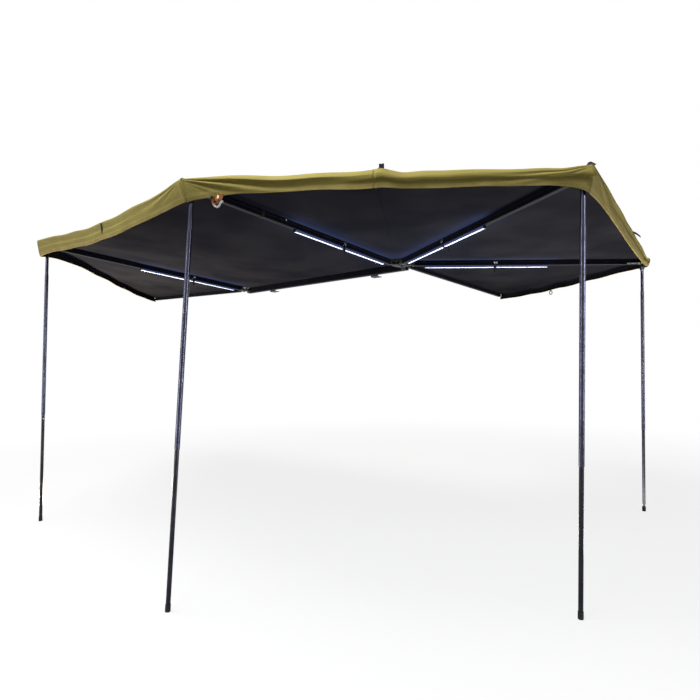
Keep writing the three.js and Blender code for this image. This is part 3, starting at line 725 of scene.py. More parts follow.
CALM = {
    "pleats": (3, 3),  # depth of the pleats out of each corner
    "reach": (170, 170),  # how far from the corners they are deepest
    "lip": 0,  # depth of the rolled upper edge of the valance
    "lip_run": (0.3, 1.2),  # shares of the panel that it runs between
    "folds": 5,  # depth of the folds down the valance
    "peak": 0,  # how far the buckle pulls the edge up
    "tuck": 22,  # how far the hem hangs in halfway along the edge
    "fade": (8, 8),  # power by which each corner's depth comes up to that of the middle
    "dips": (),  # depth, place and width of each slack stretch of the edge
}


class Panel:
    """Cloth between two ridges. u runs across it, and v from 0 at the hub to 1 at the
    edge. Each panel is sewn from two halves, one for each ridge."""

    def __init__(self, name, one, other, drop, sag, **form):
        self.name = name
        self.one = one
        self.other = other
        self.drop = drop
        self.sag = sag
        self.form = {**CALM, **form}
        start, end = self.surface(0, 1), self.surface(1, 1)
        self.width = (end - start).length
        along = end - start
        self.along = Vector((along.x, along.y, 0)).normalized()
        self.normal = Vector((along.y, -along.x, 0)).normalized()
        if self.normal.dot(one.run) < 0:
            self.normal.negate()

    def surface(self, u, v):
        """The stretched cloth, before its small creases."""
        a = self.one.at(v)
        b = self.other.at(v)
        inset = SEAM_INSET / math.hypot(b.x - a.x, b.y - a.y)
        share = inset + (1 - 2 * inset) * u
        point = a.lerp(b, share)
        point.z = lerp(a.z, b.z, smooth(share))
        hang = max(math.sin(math.pi * u), 0) ** lerp(INNER_CURVE, EDGE_CURVE, v**4)
        pleat = math.sin(2 * math.pi * FOLDS * u) * math.sin(math.pi * u) * v**3
        point.z -= hang * (SAG * math.sin(math.pi * v) + self.sag * v) + PUCKER / 2 * pleat
        aside = (u - BUCKLE_U) * math.hypot(b.x - a.x, b.y - a.y)
        point.z -= self.dip(u) * v**DIP_INWARD - self.peak(aside) * v**PEAK_INWARD
        return point

    def dip(self, u):
        """How far the edge sinks where the cloth is slack."""
        dips = self.form["dips"]
        sunk = sum(depth * bell(u, middle, width) for depth, middle, width in dips)
        return sunk * smooth(DIP_EASE * min(u, 1 - u))

    def peak(self, aside):
        """How far the edge is pulled up, so many millimetres beside the buckle."""
        return self.form["peak"] * math.exp(-abs(aside) / PEAK_REACH)

    def fan(self, u, below):
        """Long pleats that run out of both corners, close under the edge and over it."""
        height = 0
        corners = zip(self.form["pleats"], self.form["reach"], (u, 1 - u))
        for depth, reach, along in corners:
            away = along * self.width
            lean = math.atan2(below, away + PLEAT_BEHIND)
            swell = away / reach * math.exp(1 - away / reach)
            pleat = math.cos(PLEAT_TURNS * lean) * bell(lean, 0, PLEAT_SPREAD)
            height += depth * swell * pleat
        return height

    def lip(self, u, share):
        """The rolled upper edge of a valance, above a crease that runs along it."""
        start, end = self.form["lip_run"]
        run = smooth((u - start) / LIP_EASE) * smooth((end - u) / LIP_EASE)
        roll = smooth(share / LIP_END) * (1 - smooth((share - LIP_END) / CREASE))
        return self.form["lip"] * run * roll

    def top(self, u, v):
        """The cloth between its ridges, with its hollows and pleats."""
        point = self.surface(u, v)
        inward = (1 - v) * self.one.reach
        free = math.sin(math.pi * u) * math.sin(math.pi * v)
        hollow = noise.noise(point / SLACK_SIZE) * SLACK * free
        pleats = self.fan(u, inward) * math.sin(math.pi * min(u, 1 - u)) * v**6
        point.z += hollow + pleats
        return point

    def outward(self, u):
        """Which way is out along the edge, mitred where it meets its ridges."""
        at_one = self.one.run / self.one.run.dot(self.normal)
        at_other = self.other.run / self.other.run.dot(self.normal)
        return at_one.lerp(at_other, u)

    def from_ends(self, u, one, middle, other):
        """A size that runs from that at both ends to that of the middle."""
        near, far = self.form["fade"]
        return middle + (one - middle) * (1 - u) ** near + (other - middle) * u**far

    def depth(self, u):
        return self.from_ends(u, self.one.drop, self.drop, self.other.drop)

    def tuck(self, u):
        """How far the hem hangs in from the edge."""
        return self.from_ends(u, self.one.tuck, self.form["tuck"], self.other.tuck)

    def valance(self, u, share):
        """Cloth below the edge; share runs from 0 at the turn to 1 at the hem."""
        depth = self.depth(u)
        tip = math.sin(math.pi * u)
        wave = self.form["folds"] * math.sin(2 * math.pi * FOLDS * u) * tip * share
        wave += self.fan(u, share * depth) * (1 - share**2)
        wave += self.lip(u, share)
        ripple = Vector((u * self.width / RIPPLE_SIZE, share, self.drop))
        wave += RIPPLE * noise.noise(ripple)
        point = self.surface(u, 1)
        hang = lerp(EDGE_R, -self.tuck(u), share**2)
        point += self.outward(u) * (hang + wave * smooth(SETTLE * share))
        slack = self.dip(u) - self.peak((u - BUCKLE_U) * self.width)
        point.z -= lerp(EDGE_R, depth, share**DROP_CURVE) - HEM_HOLD * slack * share
        return point

    def turn(self, u, share):
        """Quarter round between the top and the valance."""
        angle = share * math.pi / 2
        point = self.surface(u, 1)
        point += self.outward(u) * (EDGE_R * math.sin(angle))
        point.z -= EDGE_R * (1 - math.cos(angle))
        return point

    def rows(self):
        """Rows of points from the hub to the hem, with the distance down the valance."""
        across = [i / ACROSS for i in range(ACROSS + 1)]
        rows = [[self.top(u, j / ALONG) for u in across] for j in range(ALONG + 1)]
        for part, steps in ((self.turn, TURN_STEPS), (self.valance, DOWN)):
            rows += [[part(u, j / steps) for u in across] for j in range(1, steps + 1)]
        return rows


def face_normals(rows, facing_up):
    """Direction out of the cloth at each point, upwards on its top."""
    last = len(rows) - 1
    end = len(rows[0]) - 1
    normals = []
    for j, row in enumerate(rows):
        line = []
        for i in range(len(row)):
            along = row[min(i + 1, end)] - row[max(i - 1, 0)]
            down = rows[min(j + 1, last)][i] - rows[max(j - 1, 0)][i]
            line.append(along.cross(down).normalized() * facing_up)
        normals.append(line)
    return normals


def sew_half(panel, rows, normals, facing_up, ridge, start, end):
    """Half of a panel as a closed sheet: canvas outside, lining inside, with its hem."""
    name = f"{panel.name}_by_{ridge.body}"
    columns = range(start, end + 1)
    width = len(columns)
    turn_row = ALONG + TURN_STEPS
    outer, inner, cloth_map, hem_map = [], [], [], []
    middle = panel.surface(0.5, 1)
    for j, row in enumerate(rows):
        for i in columns:
            u = i / ACROSS
            felled = SEAM_T * (abs(u - 0.5) * panel.width < SEAM)
            from_hem = (1 - max(0, j - turn_row) / DOWN) * panel.depth(u)
            doubled = HEM_T * smooth((HEM - from_hem) / HEM_RAMP + 1) if j > turn_row else 0
            lift = CLOTH + felled + doubled
            outer.append(row[i] + normals[j][i] * lift)
            inner.append(row[i])
            away = row[i] - middle
            fall = panel.depth(u) - from_hem if j > turn_row else 0
            cloth_map.append((away.dot(panel.along), -away.dot(panel.normal) - fall))
            hem_map.append((away.dot(panel.along), from_hem))
    count = len(outer)
    faces, kinds, corners = [], [], []

    def add_face(a, b, c, d, kind):
        order = (a, b, c, d) if facing_up > 0 else (d, c, b, a)
        faces.append(order)
        kinds.append(kind)
        corners.extend(order)

    hem_row = len(rows) - 1
    for j in range(hem_row):
        low = j - turn_row
        in_hem = low >= 0 and (1 - low / DOWN) * panel.drop <= HEM + panel.drop / DOWN
        for i in range(width - 1):
            a = j * width + i
            corner = (a, a + 1, a + 1 + width, a + width)
            add_face(*corner, HEMMED if in_hem else OUTSIDE)
            add_face(*[count + k for k in reversed(corner)], INSIDE)
        for a, way in ((j * width, 1), (j * width + width - 1, -1)):
            b = a + width
            rim = (a, b, count + b, count + a)
            add_face(*(rim if way > 0 else rim[::-1]), OUTSIDE)
    for i in range(width - 1):
        b = hem_row * width + i
        add_face(i + 1, i, count + i, count + i + 1, INSIDE)
        add_face(b, b + 1, count + b + 1, count + b, HEMMED)
    piece = make_piece(name, outer + inner, faces, [canvas, lining, hem], kinds)
    # painted light: the glow of the light bars on the lining, stored at each inner point
    spill = piece.data.attributes.new("spill", "FLOAT", "POINT")
    spill.data.foreach_set("value", [0] * count + [spill_at(point) for point in inner])
    for title, places in (("cloth", cloth_map * 2), ("hem", hem_map * 2)):
        layer = piece.data.uv_layers.new(name=title)
        flat_list = [x * MM for corner in corners for x in places[corner]]
        layer.uv.foreach_set("vector", flat_list)
    return piece, cut_size(panel, ridge, rows, columns)


def spill_at(point):
    """Light of the light bars that falls on the lining at a point, to be painted on it as a
    glow.
    """
    light = 0
    for ridge in ARM_RIDGES.values():
        start = ridge.place(LIGHT_START, 0, -ARM_H / 2 - LIGHT_H)
        run = ridge.direction(1, 0, 0)
        along = min(max((point - start).dot(run), 0), LIGHT_LENGTH)
        away = max((point - start - run * along).length - ARM_H - LIGHT_H, 0)
        light += math.exp(-away / SPILL_NEAR) + SPILL_SHARE * math.exp(-away / SPILL_FAR)
    return SPILL * light


def cut_size(panel, ridge, rows, columns):
    """Width, length and area of the flat cut of a half, in metres."""
    hem = rows[-1]
    width = sum((hem[i + 1] - hem[i]).length for i in columns[:-1])
    edge = rows[ALONG]
    width = max(width, sum((edge[i + 1] - edge[i]).length for i in columns[:-1]))
    length = ridge.reach + HEM_OUT - ridge.start + max(ridge.drop, panel.drop)
    area = 0
    for one, other in zip(rows, rows[1:]):
        for i in columns[:-1]:
            area += (one[i + 1] - one[i]).cross(other[i] - one[i]).length
    return width * MM, length * MM, area * MM * MM


def gather(piece, ridge, side):
    """The piece rides on the body of its arm, or else on the root, with a mesh of its own."""
    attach(piece, ridge.body if ridge.body in frame["bodies"] else "root")
    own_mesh(piece)


def side_of(panel, ridge):
    """1 where the panel lies to the left of the arm, seen from its pivot, and -1 else."""
    across = Vector((-ridge.run.y, ridge.run.x, 0))
    return 1 if (panel.surface(0.5, 1) - ridge.pivot).dot(across) > 0 else -1


def hang_panel(panel):
    """Both halves of a panel, each on the arm or spar that carries it."""
    rows = panel.rows()
    middle = rows[ALONG // 2]
    along = middle[ACROSS // 2 + 1] - middle[ACROSS // 2]
    down = rows[ALONG // 2 + 1][ACROSS // 2] - middle[ACROSS // 2]
    facing_up = 1 if along.cross(down).z > 0 else -1
    normals = face_normals(rows, facing_up)
    halves = ((panel.one, 0, ACROSS // 2), (panel.other, ACROSS // 2, ACROSS))
    for ridge, start, end in halves:
        half = sew_half(panel, rows, normals, facing_up, ridge, start, end)
        piece, (width, length, area) = half
        gather(piece, ridge, side_of(panel, ridge))
        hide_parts(panel.name)
        area = min(area, width * length)
        print(f"{piece.name}: cut {width:.3f} x {length:.3f} m, {area:.3f} square metres")


# Frame pieces that stay, with their finish


def soften(node, material, width):
    """Gives a rigid node its finish, and its edges the small radius of the real piece."""
    piece = frame["nodes"][node]
    piece.data.materials.clear()
    piece.data.materials.append(material)
    group = piece.modifiers.new("weld", "NODES")
    group.node_group = weld_group
    round_edges(piece, width)


def make_weld_group():
    """Joins the corners of the imported faces and shades them smooth."""
    tree = bpy.data.node_groups.new("weld", "GeometryNodeTree")
    for way in ("INPUT", "OUTPUT"):
        tree.interface.new_socket("Geometry", in_out=way, socket_type="NodeSocketGeometry")
    start = tree.nodes.new("NodeGroupInput")
    weld = tree.nodes.new("GeometryNodeMergeByDistance")
    weld.inputs["Distance"].default_value = WELD * MM
    forget = tree.nodes.new("GeometryNodeRemoveAttribute")
    forget.inputs["Name"].default_value = "custom_normal"
    shade = tree.nodes.new("GeometryNodeSetShadeSmooth")
    end = tree.nodes.new("NodeGroupOutput")
    chain = [start, weld, forget, shade, end]
    for one, other in zip(chain, chain[1:]):
        tree.links.new(one.outputs[0], other.inputs[0])
    return tree


add_camera()
light_world()

# Each soft box or strip: its place, what it is turned to, its size, its power and colour
SOFT_BOXES = {
    "key": ((3300, -1700, 5700), (700, -300, 0), (3200, 3200), 430, WHITE),
    "front": ((5200, 1500, 3600), (1400, 900, 100), (2200, 2200), 185, "#F1F7FF"),
    "left": ((6600, -1300, -900), (1500, 300, -600), (1000, 1000), 18, "#FFF0E0"),
    "right": ((1200, 6500, -400), (500, 1500, -700), (1000, 1000), 22, WHITE),
    "under_rear": ((-400, 1700, -1990), (-400, 1700, 0), (1500, 1500), 92, "#FFF6EA"),
    "under_side": ((1650, -2600, -1990), (1600, -2600, 0), (1000, 1000), 185, "#FFEDD8"),
}
STRIPS = {
    "left_strip": ((6600, -900, -300), (1500, 300, -300), (350, 3600), 170, WHITE),
    "right_strip": ((600, 6500, -300), (500, 1500, -300), (350, 3600), 230, WHITE),
}
for title, settings in SOFT_BOXES.items():
    add_lamp(title, *settings)
for title, settings in STRIPS.items():
    add_lamp(title, *settings, gloss_only=True)
bpy.context.scene.view_settings.view_transform = "Standard"

canvas = proofed_canvas()
lining = coated_lining()
hem = stitched_hem()
extrusion = anodised_extrusion("anodised_extrusion", "#0D0F16", "#12151F", 0.42, metallic=0.06)
tube = anodised_extrusion("anodised_tube", "#343542", "#414251", 0.22)
inner_tube = anodised_extrusion("inner_tube", "#25252B", "#2F2F35", 0.32)
# the light of the bar on its channel is a painted glow
channel = anodised_extrusion(
    "channel_extrusion", "#16181F", "#1C1E27", 0.4, metallic=0.5, painted_glow=0.22
)
casting = powder_coated_casting()
steel = plated_steel("zinc_plated_steel", "#A9ACB0", "#C7C9CC")
black_steel = plated_steel("blackened_steel", "#3A3B40", "#4A4B50")
silver = moulded_plastic("silver_plastic", "#B4B7BA", "#C6C9CC", 0.42)
black_plastic = moulded_plastic("black_plastic", "#121316", "#1A1B1F", 0.45, gloss=0.12)
rubber = moulded_plastic("moulded_rubber", "#101112", "#191A1B", 0.8, gloss=0.3)
diffuser = lit_diffuser()
webbing = polyester_webbing()
amber = moulded_plastic("amber_plastic", "#7A4610", "#A4661E", 0.16)
copper = plated_steel("copper_plated_steel", "#3E2210", "#6A3C1A")
# pale brass only for the block that stands in for the highlight on the clip
highlight_brass = plated_steel("brass_for_clip_highlight", "#D8B25A", "#F0D890")

# Finish of each kind of rigid node, and the radius of its edges
FINISHES = {
    "beam": (extrusion, 0.7),
    "channel": (channel, 0.4),
    "bracket": (casting, 1.0),
    "knuckle": (casting, 1.2),
    "fork": (casting, 0.9),
    "bolt": (black_steel, 0.5),
    "cap": (silver, 0.8),
    "lens": (diffuser, 0.3),
    "upper": (tube, 0.3),
    "lower": (inner_tube, 0.3),
    "foot": (rubber, 0.9),
}
weld_group = make_weld_group()


def dress_frame():
    """Every rigid node of the frame stays and gets its finish."""
    for node in frame["nodes"]:
        if node.startswith("canopy"):
            continue
        kind = next(word for word in FINISHES if word in node.split("_"))
        soften(node, *FINISHES[kind])


dress_frame()

ARM = {"reach": ARM_REACH, "width": ARM_W, "height": ARM_H}
SPAR = {"width": SPAR_W, "height": SPAR_H, "tuck": 22}
GROOVE_X = (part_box("mounting_beam")[0].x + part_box("mounting_beam")[1].x) / 2 / MM


def ridge_from_beam(body, **sizes):
    """A ridge whose cloth starts in the groove of the mounting beam."""
    low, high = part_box(body + "_pivot_bolt")
    return Ridge(body, start=GROOVE_X - (low.x + high.x) / 2 / MM, **sizes)


arm_1_sizes = {"heading": -4, "rise": 190, "drop": 130, "tuck": 16, **ARM}
arm_2_sizes = {"heading": 2, "rise": 140, "drop": 113, "tuck": 34, **ARM}
arm_1 = Ridge("arm_1", **arm_1_sizes)
arm_2 = Ridge("arm_2", **arm_2_sizes)
arm_3 = Ridge("arm_3", heading=61, rise=65, drop=121, tuck=24, **ARM)
arm_4 = Ridge("arm_4", heading=131, rise=-5, drop=64, tuck=16, **ARM)
front_spar = Ridge(
    "front_spar", heading=-91, rise=70, reach=FRONT_SPAR_REACH, drop=56, **SPAR
)
rear_spar = Ridge(
    "rear_spar", heading=182, rise=-70, reach=REAR_SPAR_REACH, drop=60, **SPAR
)
along_arm_1 = ridge_from_beam("arm_1", **arm_1_sizes)
along_arm_2 = ridge_from_beam("arm_2", **arm_2_sizes)
ARM_RIDGES = {1: arm_1, 2: arm_2, 3: arm_3, 4: arm_4}

front = Panel("canopy_front", front_spar, arm_1, drop=64, sag=12, folds=1.5)
side_panel = Panel(
    "canopy_side",
    along_arm_1,
    along_arm_2,
    drop=112,
    sag=64,
    pleats=(1, 3),
    lip=-2.5,
    lip_run=(-0.2, 0.85),
    folds=2,
    tuck=8,
    dips=((12, 0.89, 0.09),),
)
corner_panel = Panel(
    "canopy_corner",
    arm_2,
    arm_3,
    drop=75,
    sag=3,
    pleats=(24, 12),
    reach=(360, 260),
    lip=20,
    lip_run=(0.38, 1.2),
    folds=2,
    tuck=4,
    fade=(7, 22),
    peak=13,
    dips=((22, 0.28, 0.14), (15, 0.57, 0.035), (6, 0.8, 0.12), (8, 0.94, 0.04)),
)
rear = Panel(
    "canopy_rear",
    arm_3,
    arm_4,
    drop=107,
    sag=8,
    pleats=(9, 4),
    reach=(300, 170),
    lip=-9,
    lip_run=(0.1, 1.2),
    folds=1.5,
    tuck=14,
    fade=(8, 3),
    dips=((22, 0.9, 0.08),),
)
tail = Panel("canopy_tail", arm_4, rear_spar, drop=64, sag=16, folds=1.2, tuck=16)

# Trims


def trim(piece, body):
    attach(piece, body)


def ribbon(name, middles, across, halves, out, thick, material):
    """A strip of webbing or tape through the middles, with its half width at each."""
    points, faces = [], []
    for level in (thick, 0):
        for middle, half in zip(middles, halves):
            raised = middle + out * level
            points += [raised + across * half, raised - across * half]
    count = len(middles)
    back = 2 * count
    for i in range(count - 1):
        a = 2 * i
        faces.append((a, a + 1, a + 3, a + 2))
        faces.append((back + a, back + a + 2, back + a + 3, back + a + 1))
        faces.append((a, a + 2, back + a + 2, back + a))
        faces.append((a + 1, back + a + 1, back + a + 3, a + 3))
    faces.append((0, back, back + 1, 1))
    a = back - 2
    faces.append((a, a + 1, back + a + 1, back + a))
    return make_piece(name, points, faces, [material])


def block(name, frame_of, outline, depth, material, edge=0.8):
    """An outline of (right, up) points with a depth, on the given origin and axes."""
    origin, right, up, out = frame_of
    count = len(outline)
    points = []
    for y in (-depth / 2, depth / 2):
        points += [origin + right * x + up * z + out * y for x, z in outline]
    faces = [tuple(range(count))[::-1], tuple(range(count, 2 * count))]
    for i in range(count):
        after = (i + 1) % count
        faces.append((i, after, count + after, count + i))
    return round_edges(make_piece(name, points, faces, [material], flat=True), edge)


def axes_at(ridge, along, across, up):
    """Origin and axes on an arm: along it, up, and to its right."""
    place = ridge.place(along, across, up)
    ways = [ridge.direction(*way) for way in ((1, 0, 0), (0, 0, 1), (0, -1, 0))]
    return (place, *ways)


def rect(width, low, high):
    return [(-width / 2, low), (width / 2, low), (width / 2, high), (-width / 2, high)]


def tidy_faces(piece):
    """Turns every face of a closed piece outwards."""
    mesh = bmesh.new()
    mesh.from_mesh(piece.data)
    bmesh.ops.recalc_face_normals(mesh, faces=mesh.faces)
    mesh.to_mesh(piece.data)
    mesh.free()


def dress_light(number, ridge):
    """Domed diffuser and end caps of a light bar."""
    low = -ARM_H / 2 - LIGHT_H
    ends = (LIGHT_START + DOME_INSET, LIGHT_START + LIGHT_LENGTH - DOME_INSET)
    section, path = [], []
    for i in range(DOME_STEPS + 1):
        a = math.pi + i * math.pi / DOME_STEPS
        round_out = DOME_SINK + (DOME + DOME_SINK) * math.sin(a)
        section.append((DOME_HALF * math.cos(a), round_out))
        path.append(ridge.place(lerp(*ends, i / DOME_STEPS), 0, low))
    across = ridge.direction(0, 1, 0)
    dome = sweep(f"light_{number}_dome", path, across, section, diffuser)
    trim(dome, ridge.body)
    outline = rect(LIGHT_W, low - DOME - FIT, -ARM_H / 2 - 2 * FIT)
    outer = LIGHT_START + LIGHT_LENGTH + CAP_OUT
    for end, at in (("inner", LIGHT_START - CAP_OUT), ("outer", outer)):
        place, along, up, right = axes_at(ridge, at, 0, 0)
        axes = (place, right, up, along)
        cap = block(f"light_{number}_{end}_cap", axes, outline, CAP_T, black_plastic)
        trim(cap, ridge.body)


def strap_round(name, ridge, at, with_light=True):
    """Webbing round the sides and underside of an arm, tucked under the cloth. Its points
    run across and up from the top of one side, and are mirrored to the other."""
    side = ARM_W / 2 + STRAP_T
    low = -ARM_H / 2 - STRAP_T
    corner = [(side, ARM_H / 2 - 2), (side, 6), (side, -14)]
    corner += [(side - 0.6, low + 4), (side - 4, low)]
    if with_light:
        beside = LIGHT_W / 2 + STRAP_T
        deep = -ARM_H / 2 - LIGHT_H - DOME - STRAP_T / 2
        corner += [(beside + 1, low - 2), (beside, low - 5)]
        corner += [(beside, deep + 4), (beside - 3, deep)]
    outline = corner + [(-y, z) for y, z in reversed(corner)]
    path = [ridge.place(at, y, z) for y, z in outline]
    section = flat_section(STRAP_W, STRAP_T)
    loop = sweep(name, path, ridge.direction(1, 0, 0), section, webbing)
    trim(loop, ridge.body)


def strap_light(number, ridge, at):
    """Strap round a light, with a slider on both sides and its loose end."""
    strap_round(f"strap_{number}", ridge, at)
    bar = rect(SLIDER_W, -SLIDER_H / 2, SLIDER_H / 2)
    for side in (1, -1):
        across = side * (ARM_W / 2 + SLIDER_OUT)
        place, along, up, right = axes_at(ridge, at, across, SLIDER_UP)
        axes = (place, along, up, right * side)
        slider = block(f"strap_{number}_slider_{side + 1}", axes, bar, SLIDER_T, steel)
        trim(slider, ridge.body)
    tail = []
    for i in range(len(TAIL_HALVES)):
        across = ARM_W / 2 + TAIL_OUT + TAIL_FLARE * i
        tail.append(ridge.place(at + TAIL_LEAN * i, across, TAIL_UP - TAIL_STEP * i))
    along, out = ridge.direction(1, 0, 0), ridge.direction(0, 1, 0)
    end = ribbon(f"strap_{number}_tail", tail, along, TAIL_HALVES, out, STRAP_T, webbing)
    trim(end, ridge.body)


def snap_button(number, ridge, side):
    """Spring button that holds the two tubes of a pole."""
    pin = ridge.place(ARM_REACH - HINGE_INSET, 0, -HINGE_DROP)
    low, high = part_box(f"pole_{number}_foot")
    foot = Vector(((low.x + high.x) / 2, (low.y + high.y) / 2, low.z)) / MM
    down = (foot - pin).normalized()
    out = ridge.direction(0, side, 0)
    out = (out - down * out.dot(down)).normalized()
    beside = down.cross(out)
    centre = pin + down * (UPPER_LENGTH + BUTTON_AT) + out * (LOWER_R - BUTTON_SINK)
    rings = [
        oval(centre + out * height, down, beside, radius, radius, BUTTON_SIDES)
        for radius, height in BUTTON_RINGS
    ]
    button = stack(f"pole_{number}_button", rings, steel)
    trim(button, f"pole_{number}_lower")


def tape_seam(ridge, before, after):
    """Tape over the seam above an arm and down the corner of the valance. before and
    after are the panels on its right and left."""
    offsets = (-1, -0.55, 0, 0.55, 1)

    def point(share_along, valance_share, offset):
        panel, flip = (after, 0) if offset >= 0 else (before, 1)
        if share_along < 1:
            a, b = panel.one.at(share_along), panel.other.at(share_along)
            span = math.hypot(b.x - a.x, b.y - a.y)
        else:
            span = panel.width
        u = min(abs(offset) * TAPE_HALF / span, 0.5)
        u = 1 - u if flip else u
        if valance_share <= 0:
            return panel.top(u, share_along) + UP * (CLOTH + TAPE_LIFT)
        if valance_share > TURN_SHARE:
            base = panel.valance(u, valance_share)
        else:
            base = panel.turn(u, 0.5)
        out = (panel.outward(u) + UP * max(0, 0.9 - 5 * valance_share)).normalized()
        return base + out * (CLOTH + TAPE_LIFT)

    stations = [(lerp(TAPE_START, 1, i / TAPE_STEPS), 0) for i in range(TAPE_STEPS + 1)]
    stations += [(1, TURN_SHARE / 2)]
    stations += [(1, i / TAPE_DOWN) for i in range(1, TAPE_DOWN + 1)]
    rows = [[point(v, share, offset) for offset in offsets] for v, share in stations]
    points = [q for row in rows for q in row]
    count = len(points)
    corner_out = (before.outward(1) + after.outward(0)).normalized()
    for row, (_, share) in zip(rows, stations):
        out = UP if share <= 0 else corner_out
        points += [q + out * TAPE_T for q in row]
    faces = []
    width = len(offsets)
    for j in range(len(rows) - 1):
        for i in range(width - 1):
            a = j * width + i
            under = count + a
            faces.append((a, a + 1, a + 1 + width, a + width))
            faces.append((under, under + width, under + 1 + width, under + 1))
        for a in (j * width, (j + 1) * width - 1):
            faces.append((a, a + width, count + a + width, count + a))
    for end in (0, count - width):
        for a in range(end, end + width - 1):
            faces.append((a, a + 1, count + a + 1, count + a))
    tape = make_piece(f"seam_tape_{ridge.body}", points, faces, [canvas])
    tidy_faces(tape)
    trim(tape, ridge.body)


def on_cloth(piece, panel, u):
    """A trim sewn to the half of the panel that u lies on."""
    ridge = panel.one if u < 0.5 else panel.other
    gather(piece, ridge, side_of(panel, ridge))
    sewn.setdefault(f"{panel.name}_by_{ridge.body}", []).append(piece)


def sewn_ribbon(panel, u, name, middles, across, halves, out, thick):
    """A ribbon of webbing sewn to a panel."""
    piece = ribbon(name, middles, across, halves, out, thick, webbing)
    tidy_faces(piece)
    on_cloth(piece, panel, u)


def edge_axes(panel, u):
    """Top of the edge at u, with its directions along, up and out."""
    return panel.surface(u, 1) + UP * CLOTH, panel.along, UP, panel.normal


def hanging_tab(panel, u, share_end):
    """A webbing tab that lies down the outside of a valance and ends in a point."""
    halves = [10, 10, 11, 13, 13, 10, 6, 2]
    steps = len(halves) - 1
    middles = []
    for i in range(steps + 1):
        share = lerp(TAB_START, share_end, i / steps)
        middles.append(panel.valance(u, share) + panel.normal * (CLOTH + TAB_LIFT))
    sewn_ribbon(panel, u, "side_tab", middles, panel.along, halves, panel.normal, TAB_T)


def standing_buckle(panel, u):
    """Half of a side-release buckle that stands on the edge, on a loop of webbing."""
    origin, along, up, out = edge_axes(panel, u)
    outline = [(-13, 0), (13, 0), (13, 32), (7, 34), (4, 31), (-3, 31), (-6, 34), (-13, 31)]
    place = (origin - out * 6 + up * 3, along, up, out)
    on_cloth(block("buckle_body", place, outline, 9, black_plastic, 1.6), panel, u)
    tongue = [(-21, 2), (-12, 2), (-12, 13), (-19, 12)]
    on_cloth(block("buckle_tongue", place, tongue, 6, black_plastic, 1.2), panel, u)
    middles = [origin - out * (34 - 7 * i) + up * (1.5 + 0.4 * i) for i in range(5)]
    sewn_ribbon(panel, u, "buckle_loop", middles, along, [11] * 5, up, LOOP_T)


def stiff_tab(panel, u):
    """A strap end that stands out from the edge and bends down."""
    origin, along, up, out = edge_axes(panel, u)
    halves = [15, 15, 15, 15, 15, 14, 10]
    middles = []
    for i in range(len(halves)):
        sunk = 2 + 3.4 * i + 0.45 * i * i
        middles.append(origin + out * (2 + 7 * i) - up * sunk)
    sewn_ribbon(panel, u, "rear_tab", middles, along, halves, up, STIFF_TAB_T)


def hem_ring(panel, u):
    """Guy ring on a webbing loop under the hem of the tail."""
    along, out = panel.along, panel.normal
    origin = panel.valance(u, 1) + out * RING_LOOP_T
    middles = [origin + UP * (12 - 6 * i) + out * (2.6 - 0.4 * i) for i in range(5)]
    sewn_ribbon(panel, u, "ring_loop", middles, along, [8] * 5, out, RING_LOOP_T)
    path = oval(origin - UP * RING_BELOW, along, UP, RING_R, RING_R, 24)
    wire = round_section(RING_WIRE, 10)
    ring = sweep("guy_ring", path, out, wire, black_steel, closed=True)
    tidy_faces(ring)
    on_cloth(ring, panel, u)


def hem_clip(panel, u):
    """Amber spring clip on the hem, with its bright catch, and a pale block on its jaws as a
    painted highlight.
    """
    along, out = panel.along, panel.normal
    middle = panel.valance(u, 1) + out * CLIP_OUT - UP * CLIP_BELOW

    def axes(right, up):
        return (middle + along * right + UP * up, along, UP, out)

    jaws = [(-14, -2), (0, -10), (20, -6), (31, 12), (33, 28), (18, 34), (2, 29), (-10, 16)]
    on_cloth(block("clip_jaws", axes(0, 0), jaws, 16, amber, 5), panel, u)
    # painted highlight: a pale brass block on the jaws, where the clip shows its gleam
    pin = [(-5, -9), (3, -8), (6, 6), (2, 12), (-4, 8)]
    on_cloth(block("clip_highlight_block", axes(6, 10), pin, 19, highlight_brass, 2), panel, u)
    path = oval(axes(-12, -8)[0], along, UP, 14, 16, 28)
    wire = round_section(CLIP_LOOP_WIRE, 12)
    loop = sweep("clip_loop", path, out, wire, copper, closed=True)
    tidy_faces(loop)
    on_cloth(loop, panel, u)
    shape = [(-27, -10), (-22, -24), (-12, -36), (0, -41)]
    shape += [(11, -34), (16, -22), (24, -13), (32, -12)]
    path = [axes(right, up)[0] for right, up in shape]
    catch = sweep("clip_catch", path, out, round_section(CLIP_CATCH_WIRE, 10), silver)
    tidy_faces(catch)
    on_cloth(catch, panel, u)
    tape = rect(12, -14, 34)
    on_cloth(block("clip_tape", axes(-32, 6), tape, 2.2, webbing, 0.6), panel, u)


def corner_hook(ridge):
    """Black hook that lies over the tip of an arm."""
    place, along, up, right = axes_at(ridge, ridge.reach + HOOK_OUT, HOOK_ACROSS, 0)
    outline = [(-11, 22), (14, 22), (14, 31), (24, 37), (44, 34)]
    outline += [(46, 37), (26, 43), (14, 46), (5, 44), (-2, 35)]
    axes = (place, -right, up, along)
    hook = block("corner_hook", axes, outline, HOOK_T, black_plastic, 1.5)
    trim(hook, ridge.body)


def tip_patch(ridge):
    """Webbing loop sewn over the end of a seam, down over its corner."""
    shape = [(-15, 25.6), (5, 26.4), (23, 27.4), (37, 25.4), (42, 18), (40, 8)]
    middles = [ridge.place(ARM_REACH + x, 0, z + 1) for x, z in shape]
    across, out = ridge.direction(0, 1, 0), ridge.direction(0.5, 0, 1)
    loop = ribbon("corner_loop", middles, across, [8] * len(shape), out, TAB_T, webbing)
    tidy_faces(loop)
    trim(loop, ridge.body)


